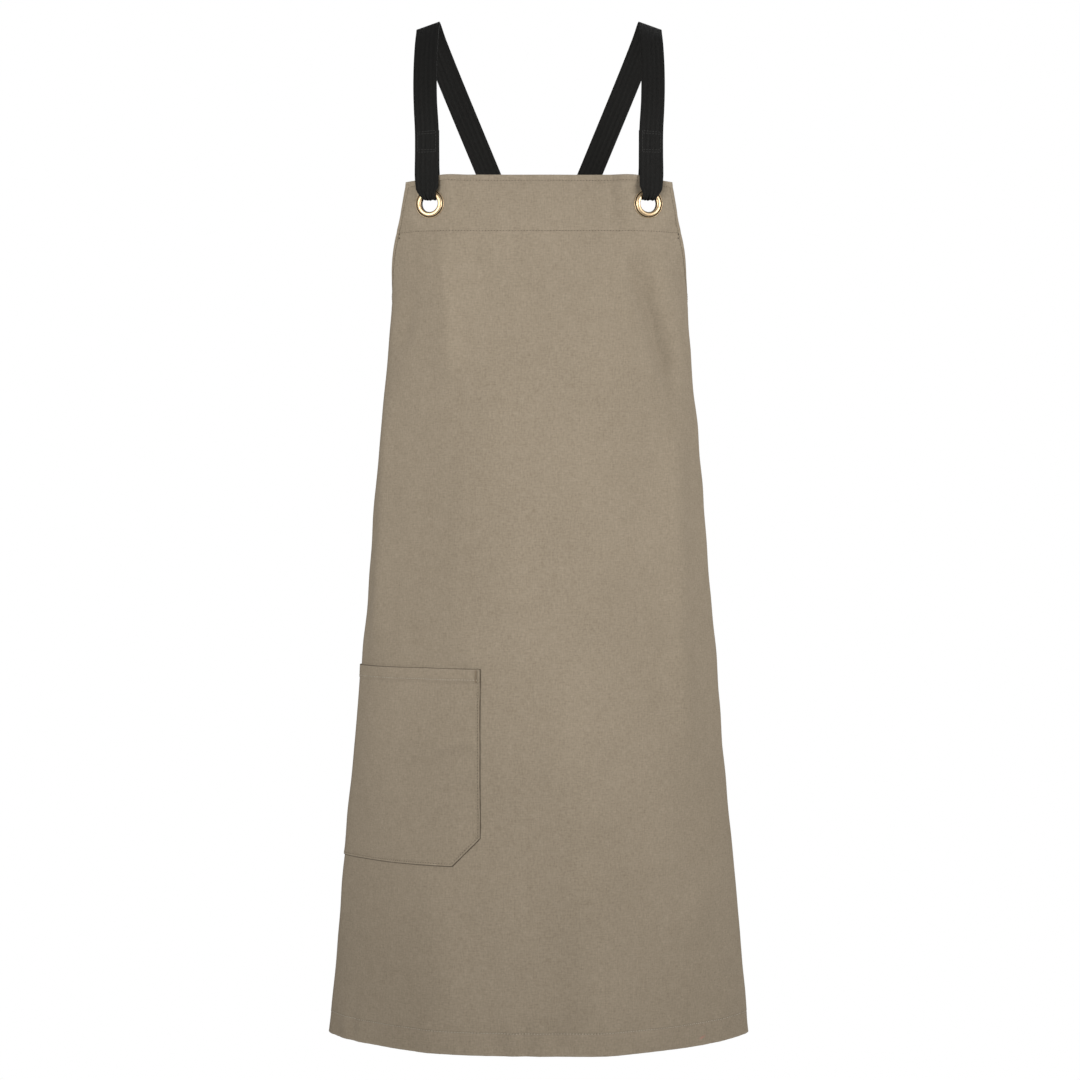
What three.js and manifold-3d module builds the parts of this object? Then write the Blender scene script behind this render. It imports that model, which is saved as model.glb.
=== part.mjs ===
// Cross back work apron, hanging as it does when it is worn.
// Millimetres, +Z up, the bib faces -Y and +X is the viewer's right. The origin lies midway
// between the two places where the undersides of the straps bear on the shoulders.
import * as THREE from "three";
import { mergeVertices } from "three/addons/utils/BufferGeometryUtils.js";
import Module from "manifold-3d";

const wasm = await Module();
wasm.setup();

// Cloth panel, cut flat
const BODY_LENGTH = 918;
const PANEL_HALF_WIDTH = 370;
const BIB_TOP_HALF_WIDTH = 141.5;
const ARMHOLE_DROP = 265;
const ARMHOLE_FLARE = 0.21;
const ARMHOLE_CURVE = 2.1;
const CLOTH_THICKNESS = 1.2;

// Turned edges, each with a second layer behind the cloth
const TURNING_THICKNESS = 0.8;
const TOP_FACING = 60;
const BOTTOM_HEM = 25;
const SIDE_HEM = 6;
const TURNING_STEP = 1.5;

// How the panel hangs round the body
const HEM_HALF_SPREAD = 229.5;
const BACK_TURN = 155;
const CORNER_DROOP = 6.5;
const FOLD_HEIGHT = 3;

// Patch pocket on the wearer's right
const POCKET_WIDTH = 254;
const POCKET_HEIGHT = 207;
const POCKET_DROP = 515;
const POCKET_START = 62;
const POCKET_CHAMFER = 30;
const POCKET_HEM = 13.5;
const POCKET_GAPE = 2.5;

// Eyelets near the top corners of the bib, each with a washer behind
const EYELET_BORE = 17;
const EYELET_OUTER = 30.5;
const EYELET_INSET = 27.5;
const EYELET_DROP = 30;
const DOME_WIDTH = 5.2;
const DOME_HEIGHT = 2.2;
const LIP_HEIGHT = 0.7;
const BARREL_WALL = 0.6;
const CURL_WIDTH = 2.2;
const CURL_HEIGHT = 1.2;
const WASHER_OUTER = 27;
const WASHER_THICKNESS = 0.8;

// The cloth is held flat for this far round an eyelet's flange, and hangs freely past the fade
const HELD_MARGIN = 3.5;
const HELD_FADE = 22;

// Webbing straps
const STRAP_WIDTH = 26;
const STRAP_THICKNESS = 1.5;
const GATHER_HEIGHT = 0.7;
const GATHER_HALF_ANGLE = 66;
const TAIL_LENGTH = 46;
const STITCH_RISE = 23;
const STITCH_WIDTH = 22;
const STRAP_OUTWARD = 3.5;
const CREST_RISE = 172;
const CREST_SETBACK = 110;
const CREST_HALF_SPREAD = 119;
const SHOULDER_SLOPE = 20;
const BACK_DEPTH = 102;
const STRAP_END_OVERLAP = 60;
const STRAP_END_INSET = 38;
const STRAP_END_DROP = 75;
const STRAP_LEAN = 22.5;

// Clearances between pieces that touch
const FIT_GAP = 0.35;
const SEAT_GAP = 0.4;

// Mesh fineness
const FACING_ROWS = 6;
const ARMHOLE_ROWS = 7;
const SKIRT_ROWS = 9;
const CENTRE_COLUMNS = 5;
const EYELET_COLUMNS = 7;
const WRAP_COLUMNS = 14;
const ROUND_SEGMENTS = 24;
const RIBBON_COLUMNS = 6;

// Level sections of the panel from the bib's top edge to the hem. drop is a share of
// BODY_LENGTH, spread, flat and bend are shares of HEM_HALF_SPREAD, turn is in degrees and
// back is a share of CREST_SETBACK. A section runs flat from the centre, turns on the front
// radius, then turns on the bend's radius round the wearer's side and runs straight.
const SECTIONS = [
  { drop: 0.0, spread: 0.65, flat: 0.465, turn: 54, bend: 0.17, back: 0.055 },
  { drop: 0.065, spread: 0.7, flat: 0.37, turn: 52, bend: 0.174, back: 0.027 },
  { drop: 0.12, spread: 0.685, flat: 0.261, turn: 60, bend: 0.183, back: 0.009 },
  { drop: 0.18, spread: 0.7, flat: 0.174, turn: 64, bend: 0.196, back: 0.0 },
  { drop: 0.312, spread: 0.752, flat: 0.087, turn: 64, bend: 0.196, back: 0.0 },
  { drop: 0.545, spread: 0.834, flat: 0.022, turn: 64, bend: 0.183, back: 0.0 },
  { drop: 1.0, spread: 1.0, flat: 0.0, turn: 64, bend: 0.174, back: 0.0 },
];

// Soft folds. Their ends are shares of PANEL_HALF_WIDTH across and of BODY_LENGTH down, their
// width is a share of PANEL_HALF_WIDTH and their height, outwards, a share of FOLD_HEIGHT.
const FOLDS = [
  { across: 0.27, down: 0.11, toAcross: 0.45, toDown: 0.235, width: 0.04, height: 0.9 },
  { across: -0.31, down: 0.085, toAcross: -0.4, toDown: 0.15, width: 0.035, height: 0.6 },
  { across: -0.3, down: 0.14, toAcross: -0.43, toDown: 0.22, width: 0.04, height: 0.8 },
  { across: -0.52, down: 0.255, toAcross: -0.56, toDown: 0.55, width: 0.05, height: 1.0 },
  { across: 0.5, down: 0.28, toAcross: 0.56, toDown: 0.52, width: 0.06, height: -0.9 },
];

// Front of an eyelet's flange: out is a share of its width and up of DOME_HEIGHT.
const DOME_PROFILE = [
  { out: 0.0, up: 0.3 },
  { out: 0.06, up: 0.65 },
  { out: 0.22, up: 0.93 },
  { out: 0.42, up: 1.0 },
  { out: 0.62, up: 0.9 },
  { out: 0.85, up: 0.55 },
  { out: 1.0, up: 0.15 },
];

// Where a gathered strap bends round the barrel's curled back end and then round the dome:
// degrees below the level line through the bend's centre, and how far it is gathered there.
const CURL_BEND = [
  { degrees: -25, gather: 0.75 },
  { degrees: 15, gather: 0.9 },
  { degrees: 55, gather: 1 },
  { degrees: 90, gather: 1 },
];
const DOME_BEND = [
  { degrees: 90, gather: 1 },
  { degrees: 60, gather: 1 },
  { degrees: 30, gather: 0.95 },
  { degrees: 0, gather: 0.7 },
];
const LEAVING_GATHER = 0.25;

// Front run of a strap above its stitching, from the bib up to the shoulder. rise is a share
// of CREST_RISE and ahead a share of CREST_SETBACK.
const FRONT_RUN = [
  { rise: 0.44, ahead: 0.86 },
  { rise: 0.64, ahead: 0.66 },
  { rise: 0.82, ahead: 0.43 },
  { rise: 0.95, ahead: 0.18 },
];

// Back run of a strap from the shoulder to its end. drop is a share of the whole way down to
// the strap's end and behind a share of BACK_DEPTH.
const BACK_RUN = [
  { drop: 0.03, behind: 0.3 },
  { drop: 0.105, behind: 0.56 },
  { drop: 0.33, behind: 0.84 },
  { drop: 0.5, behind: 0.97 },
  { drop: 0.6, behind: 1.0 },
  { drop: 0.7, behind: 0.99 },
  { drop: 0.82, behind: 0.95 },
];

// The straps lie apart for this share of the back run on each side of their crossing
const CROSSING_REACH = 0.25;
const CROSSING_FADE = 1 / 6;

const clamp = THREE.MathUtils.clamp;
const lerp = THREE.MathUtils.lerp;
const radians = THREE.MathUtils.degToRad;
const smooth = (share) => THREE.MathUtils.smoothstep(share, 0, 1);
const spaced = (from, to, count) =>
  Array.from({ length: count }, (_, i) => lerp(from, to, (i + 1) / count));

const sectionCurve = new THREE.CubicInterpolant(
  SECTIONS.map((row) => row.drop * BODY_LENGTH),
  SECTIONS.flatMap((row) => [row.spread, row.flat, row.turn, row.bend, row.back]),
  5,
);

// The lengths and angles of the level section that lies `down` below the bib's top edge.
function sectionAt(down) {
  const [spread, flat, turn, bend, back] = sectionCurve.evaluate(clamp(down, 0, BODY_LENGTH));
  const turned = radians(turn);
  const side = bend * HEM_HALF_SPREAD;
  const level = flat * HEM_HALF_SPREAD;
  const reach = spread * HEM_HALF_SPREAD - level - side * (1 - Math.sin(turned));
  const setback = back * CREST_SETBACK;
  return { level, turned, side, front: reach / Math.sin(turned), setback };
}

// Half the panel's flat width at a drop: the armhole, partly a straight flare and partly a
// curve, then the straight side.
function halfWidth(down) {
  const share = clamp(down / ARMHOLE_DROP, 0, 1);
  const grown = lerp(share ** ARMHOLE_CURVE, share, ARMHOLE_FLARE);
  return lerp(BIB_TOP_HALF_WIDTH, PANEL_HALF_WIDTH, grown);
}

// A point of the hanging cloth's front face, `across` and `down` measured on the flat cloth.
function drape(across, down) {
  const section = sectionAt(down);
  const length = Math.abs(across);
  const frontArc = section.front * section.turned;
  const sideArc = section.side * (radians(BACK_TURN) - section.turned);
  const onFront = clamp(length - section.level, 0, frontArc) / section.front;
  const onSide = clamp(length - section.level - frontArc, 0, sideArc) / section.side;
  const straight = Math.max(length - section.level - frontArc - sideArc, 0);
  const heading = section.turned + onSide;
  const side = section.side;
  const x = Math.min(length, section.level)
    + section.front * Math.sin(onFront)
    + side * (Math.sin(heading) - Math.sin(section.turned))
    + straight * Math.cos(radians(BACK_TURN));
  const depth = section.front * (1 - Math.cos(onFront))
    + side * (Math.cos(section.turned) - Math.cos(heading))
    + straight * Math.sin(radians(BACK_TURN));
  return new THREE.Vector3(
    Math.sign(across) * x,
    section.setback + depth - CREST_SETBACK,
    -CREST_RISE - down,
  );
}

const EYELET_ACROSS = BIB_TOP_HALF_WIDTH - EYELET_INSET;
const EYELET_FLAT = EYELET_OUTER / 2 + HELD_MARGIN;

// The point, the two directions in the cloth and the outward normal of a surface.
function frameOn(surface, across, down) {
  const step = 0.5;
  const point = surface(across, down);
  const right = surface(across + step, down).sub(surface(across - step, down)).normalize();
  const below = surface(across, down + step).sub(surface(across, down - step));
  const normal = below.cross(right).normalize();
  return { point, right, normal, up: normal.clone().cross(right).normalize() };
}

const eyeletFrames = new Map(
  [-1, 1].map((side) => [side, frameOn(drape, side * EYELET_ACROSS, EYELET_DROP)]),
);

// How much an eyelet and the strap above it hold the cloth flat, from 0 to 1.
function flatness(across, down) {
  const beside = Math.abs(across) - EYELET_ACROSS;
  const distance = Math.hypot(beside, Math.max(down - EYELET_DROP, 0));
  return 1 - smooth((distance - EYELET_FLAT) / HELD_FADE);
}

// How far the bib's top corners hang down outside the straps.
function cornerDroop(across, down) {
  const beside = Math.abs(across) - EYELET_ACROSS;
  const outward = smooth((beside + EYELET_FLAT) / (EYELET_INSET + EYELET_FLAT));
  const upper = 1 - smooth(down / TOP_FACING);
  const distance = Math.hypot(beside, down - EYELET_DROP) - EYELET_OUTER / 2;
  return CORNER_DROOP * outward * upper * smooth(distance / (EYELET_DROP - EYELET_OUTER / 2));
}

// How far the soft folds stand out of the hanging cloth. Each is a smooth ridge that fades over
// the first and last quarter of its length.
function foldHeight(across, down) {
  return FOLDS.reduce((total, fold) => {
    const start = new THREE.Vector2(fold.across * PANEL_HALF_WIDTH, fold.down * BODY_LENGTH);
    const end = new THREE.Vector2(fold.toAcross * PANEL_HALF_WIDTH, fold.toDown * BODY_LENGTH);
    const way = end.clone().sub(start);
    const offset = new THREE.Vector2(across, down).sub(start);
    const along = offset.dot(way) / way.lengthSq();
    const aside = offset.cross(way) / way.length() / (fold.width * PANEL_HALF_WIDTH);
    const fade = smooth(clamp(2 - Math.abs(4 * along - 2), 0, 1));
    return total + fold.height * FOLD_HEIGHT * fade * Math.exp(-aside * aside);
  }, 0);
}

// The cloth's front face with its folds, held flat round the eyelets.
function clothPoint(across, down) {
  const lowered = down + cornerDroop(across, down);
  const { point, normal } = frameOn(drape, across, lowered);
  const held = flatness(across, down);
  if (held > 0) {
    const eyelet = eyeletFrames.get(Math.sign(across) || 1);
    const plane = eyelet.point.clone()
      .addScaledVector(eyelet.right, across - Math.sign(across) * EYELET_ACROSS)
      .addScaledVector(eyelet.up, EYELET_DROP - lowered);
    point.lerp(plane, held);
  }
  return point.addScaledVector(normal, foldHeight(across, down) * (1 - held));
}

const clothFrame = (across, down) => frameOn(clothPoint, across, down);

// Cloth and turnings together, measured inwards from the front face.
function clothThickness(across, down) {
  const inside = Math.min(
    down - TOP_FACING,
    BODY_LENGTH - BOTTOM_HEM - down,
    halfWidth(down) - SIDE_HEM - Math.abs(across),
  );
  return CLOTH_THICKNESS + TURNING_THICKNESS * (1 - clamp(inside / TURNING_STEP, 0, 1));
}

// A closed mesh from points and triangles, turned to face outwards.
function meshFrom(points, triangles) {
  const volume = triangles.reduce((total, [a, b, c]) => {
    const cross = points[b].clone().cross(points[c]);
    return total + points[a].dot(cross);
  }, 0);
  const faces = volume < 0 ? triangles.map(([a, b, c]) => [a, c, b]) : triangles;
  const geometry = new THREE.BufferGeometry();
  const positions = points.flatMap((point) => point.toArray());
  geometry.setAttribute("position", new THREE.Float32BufferAttribute(positions, 3));
  geometry.setIndex(faces.flat());
  return geometry;
}

// A closed wall over convex patches of cloth. Each corner holds its place on the flat cloth
// and its point on the front face, and outer and inner give its two offsets from that point.
function wallOver(patches, outer, inner) {
  const corners = [];
  const indices = new Map();
  const indexOf = (corner) => {
    const key = `${corner.across.toFixed(4)},${corner.down.toFixed(4)}`;
    if (!indices.has(key)) {
      indices.set(key, corners.length);
      corners.push(corner);
    }
    return indices.get(key);
  };
  const front = patches.flatMap((patch) => {
    const ring = patch.map(indexOf).filter((index, i, all) => index !== all.at(i - 1));
    return ring.slice(2).map((index, i) => [ring[0], ring[i + 1], index]);
  }).filter(([a, b, c]) => a !== b && b !== c && c !== a);
  const count = corners.length;
  const edges = new Set(front.flatMap(([a, b, c]) => [`${a},${b}`, `${b},${c}`, `${c},${a}`]));
  const rim = [...edges]
    .map((edge) => edge.split(",").map(Number))
    .filter(([a, b]) => !edges.has(`${b},${a}`));
  const triangles = [
    ...front,
    ...front.map(([a, b, c]) => [a + count, c + count, b + count]),
    ...rim.flatMap(([a, b]) => [[b, a, a + count], [b, a + count, b + count]]),
  ];
  const offsetPoints = (offset) => corners.map((corner) => {
    const { normal } = clothFrame(corner.across, corner.down);
    return corner.point.clone().addScaledVector(normal, offset(corner.across, corner.down));
  });
  return meshFrom([...offsetPoints(outer), ...offsetPoints(inner)], triangles);
}

const rows = [
  0,
  ...spaced(0, TOP_FACING, FACING_ROWS),
  TOP_FACING + TURNING_STEP,
  ...spaced(TOP_FACING + TURNING_STEP, ARMHOLE_DROP, ARMHOLE_ROWS),
  ...spaced(ARMHOLE_DROP, BODY_LENGTH - BOTTOM_HEM - TURNING_STEP, SKIRT_ROWS),
  BODY_LENGTH - BOTTOM_HEM,
  BODY_LENGTH,
];

const eyeletZone = EYELET_ACROSS - EYELET_FLAT;
const sideTurning = PANEL_HALF_WIDTH - SIDE_HEM;
const halfColumns = [
  ...spaced(0, eyeletZone, CENTRE_COLUMNS),
  ...spaced(eyeletZone, BIB_TOP_HALF_WIDTH, EYELET_COLUMNS),
  ...spaced(BIB_TOP_HALF_WIDTH, sideTurning - TURNING_STEP, WRAP_COLUMNS),
  sideTurning,
  PANEL_HALF_WIDTH,
];
const columns = [...halfColumns.map((across) => -across).reverse(), 0, ...halfColumns];

// The parts of convex patches that lie on the positive side of a straight line on the cloth.
function keptBy(patches, measure) {
  const between = (a, b) => {
    const share = measure(a) / (measure(a) - measure(b));
    return {
      across: lerp(a.across, b.across, share),
      down: lerp(a.down, b.down, share),
      point: a.point.clone().lerp(b.point, share),
    };
  };
  return patches.map((patch) => patch.flatMap((corner, i) => {
    const next = patch[(i + 1) % patch.length];
    const kept = measure(corner) >= 0 ? [corner] : [];
    const crosses = measure(corner) * measure(next) < 0;
    return crosses ? [...kept, between(corner, next)] : kept;
  })).filter((patch) => patch.length > 2);
}

function splitBy(patches, measure) {
  return [...keptBy(patches, measure), ...keptBy(patches, (corner) => -measure(corner))];
}

// The patches of the panel's front face, which the pocket shares so that it lies parallel.
function panelPatches() {
  return rows.slice(1).flatMap((lower, i) => {
    const upper = rows[i];
    const corner = (across, down) => ({ across, down, point: clothPoint(across, down) });
    const cells = columns.slice(1).flatMap((right, j) => {
      const [a, b] = [corner(columns[j], upper), corner(columns[j], lower)];
      const [c, d] = [corner(right, lower), corner(right, upper)];
      return columns[j] < 0 ? [[a, b, c], [a, c, d]] : [[a, b, d], [b, c, d]];
    });
    const insideOf = (side, inset) => (spot) => {
      const edge = lerp(halfWidth(upper), halfWidth(lower), (spot.down - upper) / (lower - upper));
      return edge - inset - side * spot.across;
    };
    const edges = [-1, 1].map((side) => insideOf(side, 0));
    const turnings = [-1, 1].flatMap((side) => (
      [insideOf(side, SIDE_HEM), insideOf(side, SIDE_HEM + TURNING_STEP)]
    ));
    const inside = upper < ARMHOLE_DROP ? edges.reduce(keptBy, cells) : cells;
    return upper < ARMHOLE_DROP ? turnings.reduce(splitBy, inside) : inside;
  });
}

function toSolid(geometry) {
  const bare = geometry.clone();
  bare.deleteAttribute("normal");
  bare.deleteAttribute("uv");
  const merged = mergeVertices(bare, 1e-4);
  const vertProperties = new Float32Array(merged.attributes.position.array);
  const triVerts = new Uint32Array(merged.index.array);
  return new wasm.Manifold(new wasm.Mesh({ numProp: 3, vertProperties, triVerts }));
}

function fromSolid(solid) {
  const { vertProperties, triVerts } = solid.getMesh();
  const geometry = new THREE.BufferGeometry();
  geometry.setAttribute("position", new THREE.BufferAttribute(new Float32Array(vertProperties), 3));
  geometry.setIndex(new THREE.BufferAttribute(new Uint32Array(triVerts), 1));
  return geometry;
}

// Turns a shape made along +Y to stand out of the cloth at an eyelet.
function placeAtEyelet(geometry, side) {
  const eyelet = eyeletFrames.get(side);
  const basis = new THREE.Matrix4().makeBasis(eyelet.up, eyelet.normal, eyelet.right);
  return geometry.applyMatrix4(basis.setPosition(eyelet.point));
}

function panelGeometry(patches) {
  const wall = wallOver(patches, () => 0, (across, down) => -clothThickness(across, down));
  const holeRadius = EYELET_BORE / 2 + BARREL_WALL + FIT_GAP;
  const depth = EYELET_BORE;
  const cutters = [-1, 1].map((side) => toSolid(placeAtEyelet(
    new THREE.CylinderGeometry(holeRadius, holeRadius, depth, ROUND_SEGMENTS),
    side,
  )));
  return fromSolid(cutters.reduce((solid, cutter) => solid.subtract(cutter), toSolid(wall)));
}

function pocketGeometry(patches) {
  const nearEdge = -POCKET_START;
  const farEdge = nearEdge - POCKET_WIDTH;
  const bottom = POCKET_DROP + POCKET_HEIGHT;
  const corner = POCKET_CHAMFER - bottom;
  const sides = [
    (spot) => nearEdge - spot.across,
    (spot) => spot.across - farEdge,
    (spot) => spot.down - POCKET_DROP,
    (spot) => bottom - spot.down,
    (spot) => nearEdge - spot.across - spot.down - corner,
    (spot) => spot.across - farEdge - spot.down - corner,
  ];
  const hemLines = [
    (spot) => spot.down - POCKET_DROP - POCKET_HEM,
    (spot) => spot.down - POCKET_DROP - POCKET_HEM - TURNING_STEP,
  ];
  const cut = hemLines.reduce(splitBy, sides.reduce(keptBy, patches));
  const gape = (across, down) => {
    const over = Math.sin(Math.PI * clamp((nearEdge - across) / POCKET_WIDTH, 0, 1));
    const upperHalf = 1 - smooth((down - POCKET_DROP) / (POCKET_HEIGHT / 2));
    return SEAT_GAP + POCKET_GAPE * over * over * upperHalf;
  };
  const turned = (down) => {
    const past = clamp((down - POCKET_DROP - POCKET_HEM) / TURNING_STEP, 0, 1);
    return CLOTH_THICKNESS + TURNING_THICKNESS * (1 - past);
  };
  return wallOver(cut, (across, down) => gape(across, down) + turned(down), gape);
}

// The cloth's thickness where an eyelet goes through it.
const CLAMPED = CLOTH_THICKNESS + TURNING_THICKNESS;
const FLANGE_SEAT = FIT_GAP;
const WASHER_FRONT = -CLAMPED - FIT_GAP;
const CURL_FRONT = WASHER_FRONT - WASHER_THICKNESS - FIT_GAP;

// A closed profile of radius and height, turned about an eyelet's axis.
function turnedRing(ring, side) {
  const closed = [...ring, ring[0]].reverse();
  const profile = closed.map(([radius, out]) => new THREE.Vector2(radius, out));
  return placeAtEyelet(new THREE.LatheGeometry(profile, ROUND_SEGMENTS), side);
}

function eyeletGeometry(side) {
  const bore = EYELET_BORE / 2;
  const outer = EYELET_OUTER / 2;
  const barrel = bore + BARREL_WALL;
  const dome = DOME_PROFILE.map((row) => (
    [bore + row.out * DOME_WIDTH, FLANGE_SEAT + row.up * DOME_HEIGHT]
  ));
  const lip = [
    [lerp(bore + DOME_WIDTH, outer, 0.5), FLANGE_SEAT + LIP_HEIGHT],
    [outer, FLANGE_SEAT + LIP_HEIGHT / 2],
    [outer, FLANGE_SEAT],
  ];
  const curl = [
    [barrel, FLANGE_SEAT],
    [barrel, CURL_FRONT],
    [bore + CURL_WIDTH, CURL_FRONT],
    [bore + CURL_WIDTH, CURL_FRONT - CURL_HEIGHT / 2],
    [bore + CURL_WIDTH / 2, CURL_FRONT - CURL_HEIGHT],
    [bore, CURL_FRONT - CURL_HEIGHT / 2],
  ];
  return turnedRing([...dome, ...lip, ...curl], side);
}

function washerGeometry(side) {
  const inner = EYELET_BORE / 2 + BARREL_WALL + FIT_GAP;
  const outer = WASHER_OUTER / 2;
  const back = WASHER_FRONT - WASHER_THICKNESS;
  return turnedRing([[inner, WASHER_FRONT], [outer, WASHER_FRONT], [outer, back], [inner, back]], side);
}

// The gathered strap follows the top of the bore at this radius.
const STRAP_HALF = STRAP_THICKNESS / 2;
const GATHER_STANDOFF = STRAP_HALF + GATHER_HEIGHT + FIT_GAP;
const GATHER_RADIUS = EYELET_BORE / 2 - GATHER_STANDOFF;

// Stations of a strap from its stitched tail behind the bib, through the eyelet to the front,
// over the shoulder, down the back and across to the other side of the panel.
function strapStations(side) {
  const eyelet = eyeletFrames.get(side);
  const station = (point, across, gather, steps) => ({ point, across, gather, steps });
  const topEdge = EYELET_DROP;
  const local = (out, up, gather, steps) => station(
    eyelet.point.clone()
      .addScaledVector(eyelet.normal, out)
      .addScaledVector(eyelet.up, up)
      .addScaledVector(eyelet.right, side * STRAP_OUTWARD * smooth(up / topEdge)),
    eyelet.right,
    gather,
    steps,
  );
  const bore = EYELET_BORE / 2;
  const middle = -CLAMPED / 2;
  const layer = STRAP_HALF + SEAT_GAP / 2;
  const bent = (bends, centreOut, centreUp, reachOut, reachUp) => bends.map((row) => local(
    centreOut + reachOut * Math.cos(radians(row.degrees)),
    centreUp - reachUp * Math.sin(radians(row.degrees)),
    row.gather,
    1,
  ));
  const curlUp = bore + CURL_WIDTH / 2;
  const curlOut = CURL_HEIGHT + GATHER_STANDOFF;
  const curlReach = CURL_WIDTH / 2 + GATHER_STANDOFF;
  const domeCrest = DOME_PROFILE.find((row) => row.up === 1).out;
  const domeUp = bore + DOME_WIDTH * domeCrest;
  const domeOut = DOME_HEIGHT + GATHER_STANDOFF;
  const domeReach = domeUp - bore + GATHER_STANDOFF;
  const sewn = [
    local(middle - layer, topEdge + TAIL_LENGTH, 0, 1),
    local(middle - layer, topEdge + STITCH_RISE, 0, 2),
    local(-CLAMPED - SEAT_GAP - STRAP_HALF, topEdge, 0, 2),
    ...bent(CURL_BEND, CURL_FRONT, curlUp, -curlOut, curlReach),
    ...bent(DOME_BEND, FLANGE_SEAT, domeUp, domeOut, domeReach),
    local(DOME_HEIGHT + STRAP_THICKNESS, domeUp + DOME_WIDTH, LEAVING_GATHER, 1),
    local(SEAT_GAP + STRAP_HALF, topEdge, 0, 2),
    local(middle + layer, topEdge + STITCH_RISE, 0, 1),
    local(middle + layer, topEdge + TAIL_LENGTH, 0, 1),
  ];
  const sewnTop = sewn.at(-1).point;
  const levelAcross = new THREE.Vector3(1, 0, 0);
  const slope = radians(SHOULDER_SLOPE);
  const slopedAcross = new THREE.Vector3(Math.cos(slope), 0, -side * Math.sin(slope));
  const crest = new THREE.Vector3(side * CREST_HALF_SPREAD, 0, STRAP_HALF);
  const front = FRONT_RUN.map((row) => {
    const z = lerp(-CREST_RISE, crest.z, row.rise);
    const share = (z - sewnTop.z) / (crest.z - sewnTop.z);
    const x = lerp(sewnTop.x, crest.x, share);
    const across = eyelet.right.clone().lerp(levelAcross, smooth(share * 2))
      .lerp(slopedAcross, share ** 2).normalize();
    return station(new THREE.Vector3(x, -row.ahead * CREST_SETBACK, z), across, 0, 2);
  });
  const endSpot = (back) => {
    const outward = -side;
    const lean = radians(STRAP_LEAN);
    const across = outward * (PANEL_HALF_WIDTH - STRAP_END_INSET + back * Math.sin(lean));
    const down = ARMHOLE_DROP + STRAP_END_DROP - back * Math.cos(lean);
    const frame = clothFrame(across, down);
    frame.point.addScaledVector(frame.normal, SEAT_GAP + STRAP_HALF);
    return frame;
  };
  const ends = [STRAP_END_OVERLAP, STRAP_END_OVERLAP / 2, 0].map(endSpot);
  const landing = ends[0].point;
  const over = side * (STRAP_HALF + SEAT_GAP);
  const crossing = crest.x / (crest.x - landing.x);
  const back = BACK_RUN.map((row) => {
    const z = lerp(crest.z, landing.z, row.drop);
    const x = lerp(crest.x, landing.x, row.drop);
    const lifted = smooth((CROSSING_REACH - Math.abs(row.drop - crossing)) / CROSSING_FADE);
    const y = row.behind * BACK_DEPTH + over * lifted;
    return station(new THREE.Vector3(x, y, z), slopedAcross, 0, 2);
  });
  const way = ends[2].point.clone().sub(landing).normalize();
  const landed = ends.map((end, i) => station(
    end.point,
    way.clone().cross(end.normal).normalize(),
    0,
    i === 2 ? 0 : 1,
  ));
  return [...sewn, ...front, station(crest, slopedAcross, 0, 2), ...back, ...landed];
}

// A ribbon swept through its stations, folded and cupped where it is gathered.
function ribbonGeometry(stations) {
  const curve = new THREE.CatmullRomCurve3(stations.map((spot) => spot.point), false, "centripetal");
  const last = stations.length - 1;
  const samples = stations.flatMap((spot, i) => {
    const next = stations[Math.min(i + 1, last)];
    return Array.from({ length: Math.max(spot.steps, 1) }, (_, k) => {
      const share = k / Math.max(spot.steps, 1);
      return {
        at: (i + share) / last,
        across: spot.across.clone().lerp(next.across, share).normalize(),
        gather: lerp(spot.gather, next.gather, share),
      };
    });
  });
  const halfAngle = radians(GATHER_HALF_ANGLE);
  const rings = samples.map(({ at, across, gather }) => {
    const tangent = curve.getTangent(at);
    const out = across.clone().cross(tangent).normalize();
    const wide = tangent.clone().cross(out).normalize();
    const middle = curve.getPoint(at);
    const line = (offset) => Array.from({ length: RIBBON_COLUMNS + 1 }, (_, column) => {
      const share = column / RIBBON_COLUMNS * 2 - 1;
      const angle = share * halfAngle;
      const ridge = column % 2 ? GATHER_HEIGHT : -GATHER_HEIGHT;
      const aside = lerp(share * STRAP_WIDTH / 2, GATHER_RADIUS * Math.sin(angle), gather);
      const cupped = gather * (GATHER_RADIUS * (1 - Math.cos(angle)) + ridge);
      return middle.clone().addScaledVector(wide, aside).addScaledVector(out, cupped + offset);
    });
    return [...line(STRAP_HALF), ...line(-STRAP_HALF).reverse()];
  });
  const size = rings[0].length;
  const points = rings.flat();
  const sides = rings.slice(1).flatMap((_, i) => rings[0].flatMap((__, j) => {
    const [a, b] = [i * size + j, i * size + (j + 1) % size];
    const isFront = j < RIBBON_COLUMNS;
    return isFront
      ? [[a, b, b + size], [a, b + size, a + size]]
      : [[a, b, a + size], [b, b + size, a + size]];
  }));
  const cap = (start, flip) => Array.from({ length: RIBBON_COLUMNS }, (_, j) => {
    const quad = [j, j + 1, size - 2 - j, size - 1 - j].map((index) => index + start);
    const [a, b, c, d] = flip ? quad.reverse() : quad;
    return [[a, b, c], [a, c, d]];
  }).flat();
  const ends = [...cap(0, true), ...cap((rings.length - 1) * size, false)];
  return meshFrom(points, [...sides, ...ends]);
}

// A strap with its tail sewn to it above the bib.
function strapGeometry(side) {
  const stations = strapStations(side);
  const height = TAIL_LENGTH - STITCH_RISE - SEAT_GAP;
  const block = new THREE.BoxGeometry(height, STRAP_THICKNESS, STITCH_WIDTH);
  const rise = EYELET_DROP + (TAIL_LENGTH + STITCH_RISE) / 2;
  block.translate(rise, -CLAMPED / 2, side * STRAP_OUTWARD);
  const stitched = toSolid(placeAtEyelet(block, side));
  return fromSolid(toSolid(ribbonGeometry(stations)).add(stitched));
}

const canvas = new THREE.MeshStandardMaterial({ color: 0x96897a, roughness: 0.9, metalness: 0 });
const webbing = new THREE.MeshStandardMaterial({ color: 0x232321, roughness: 0.8, metalness: 0 });
const brass = new THREE.MeshStandardMaterial({ color: 0xc9a877, roughness: 0.25, metalness: 1 });

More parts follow.
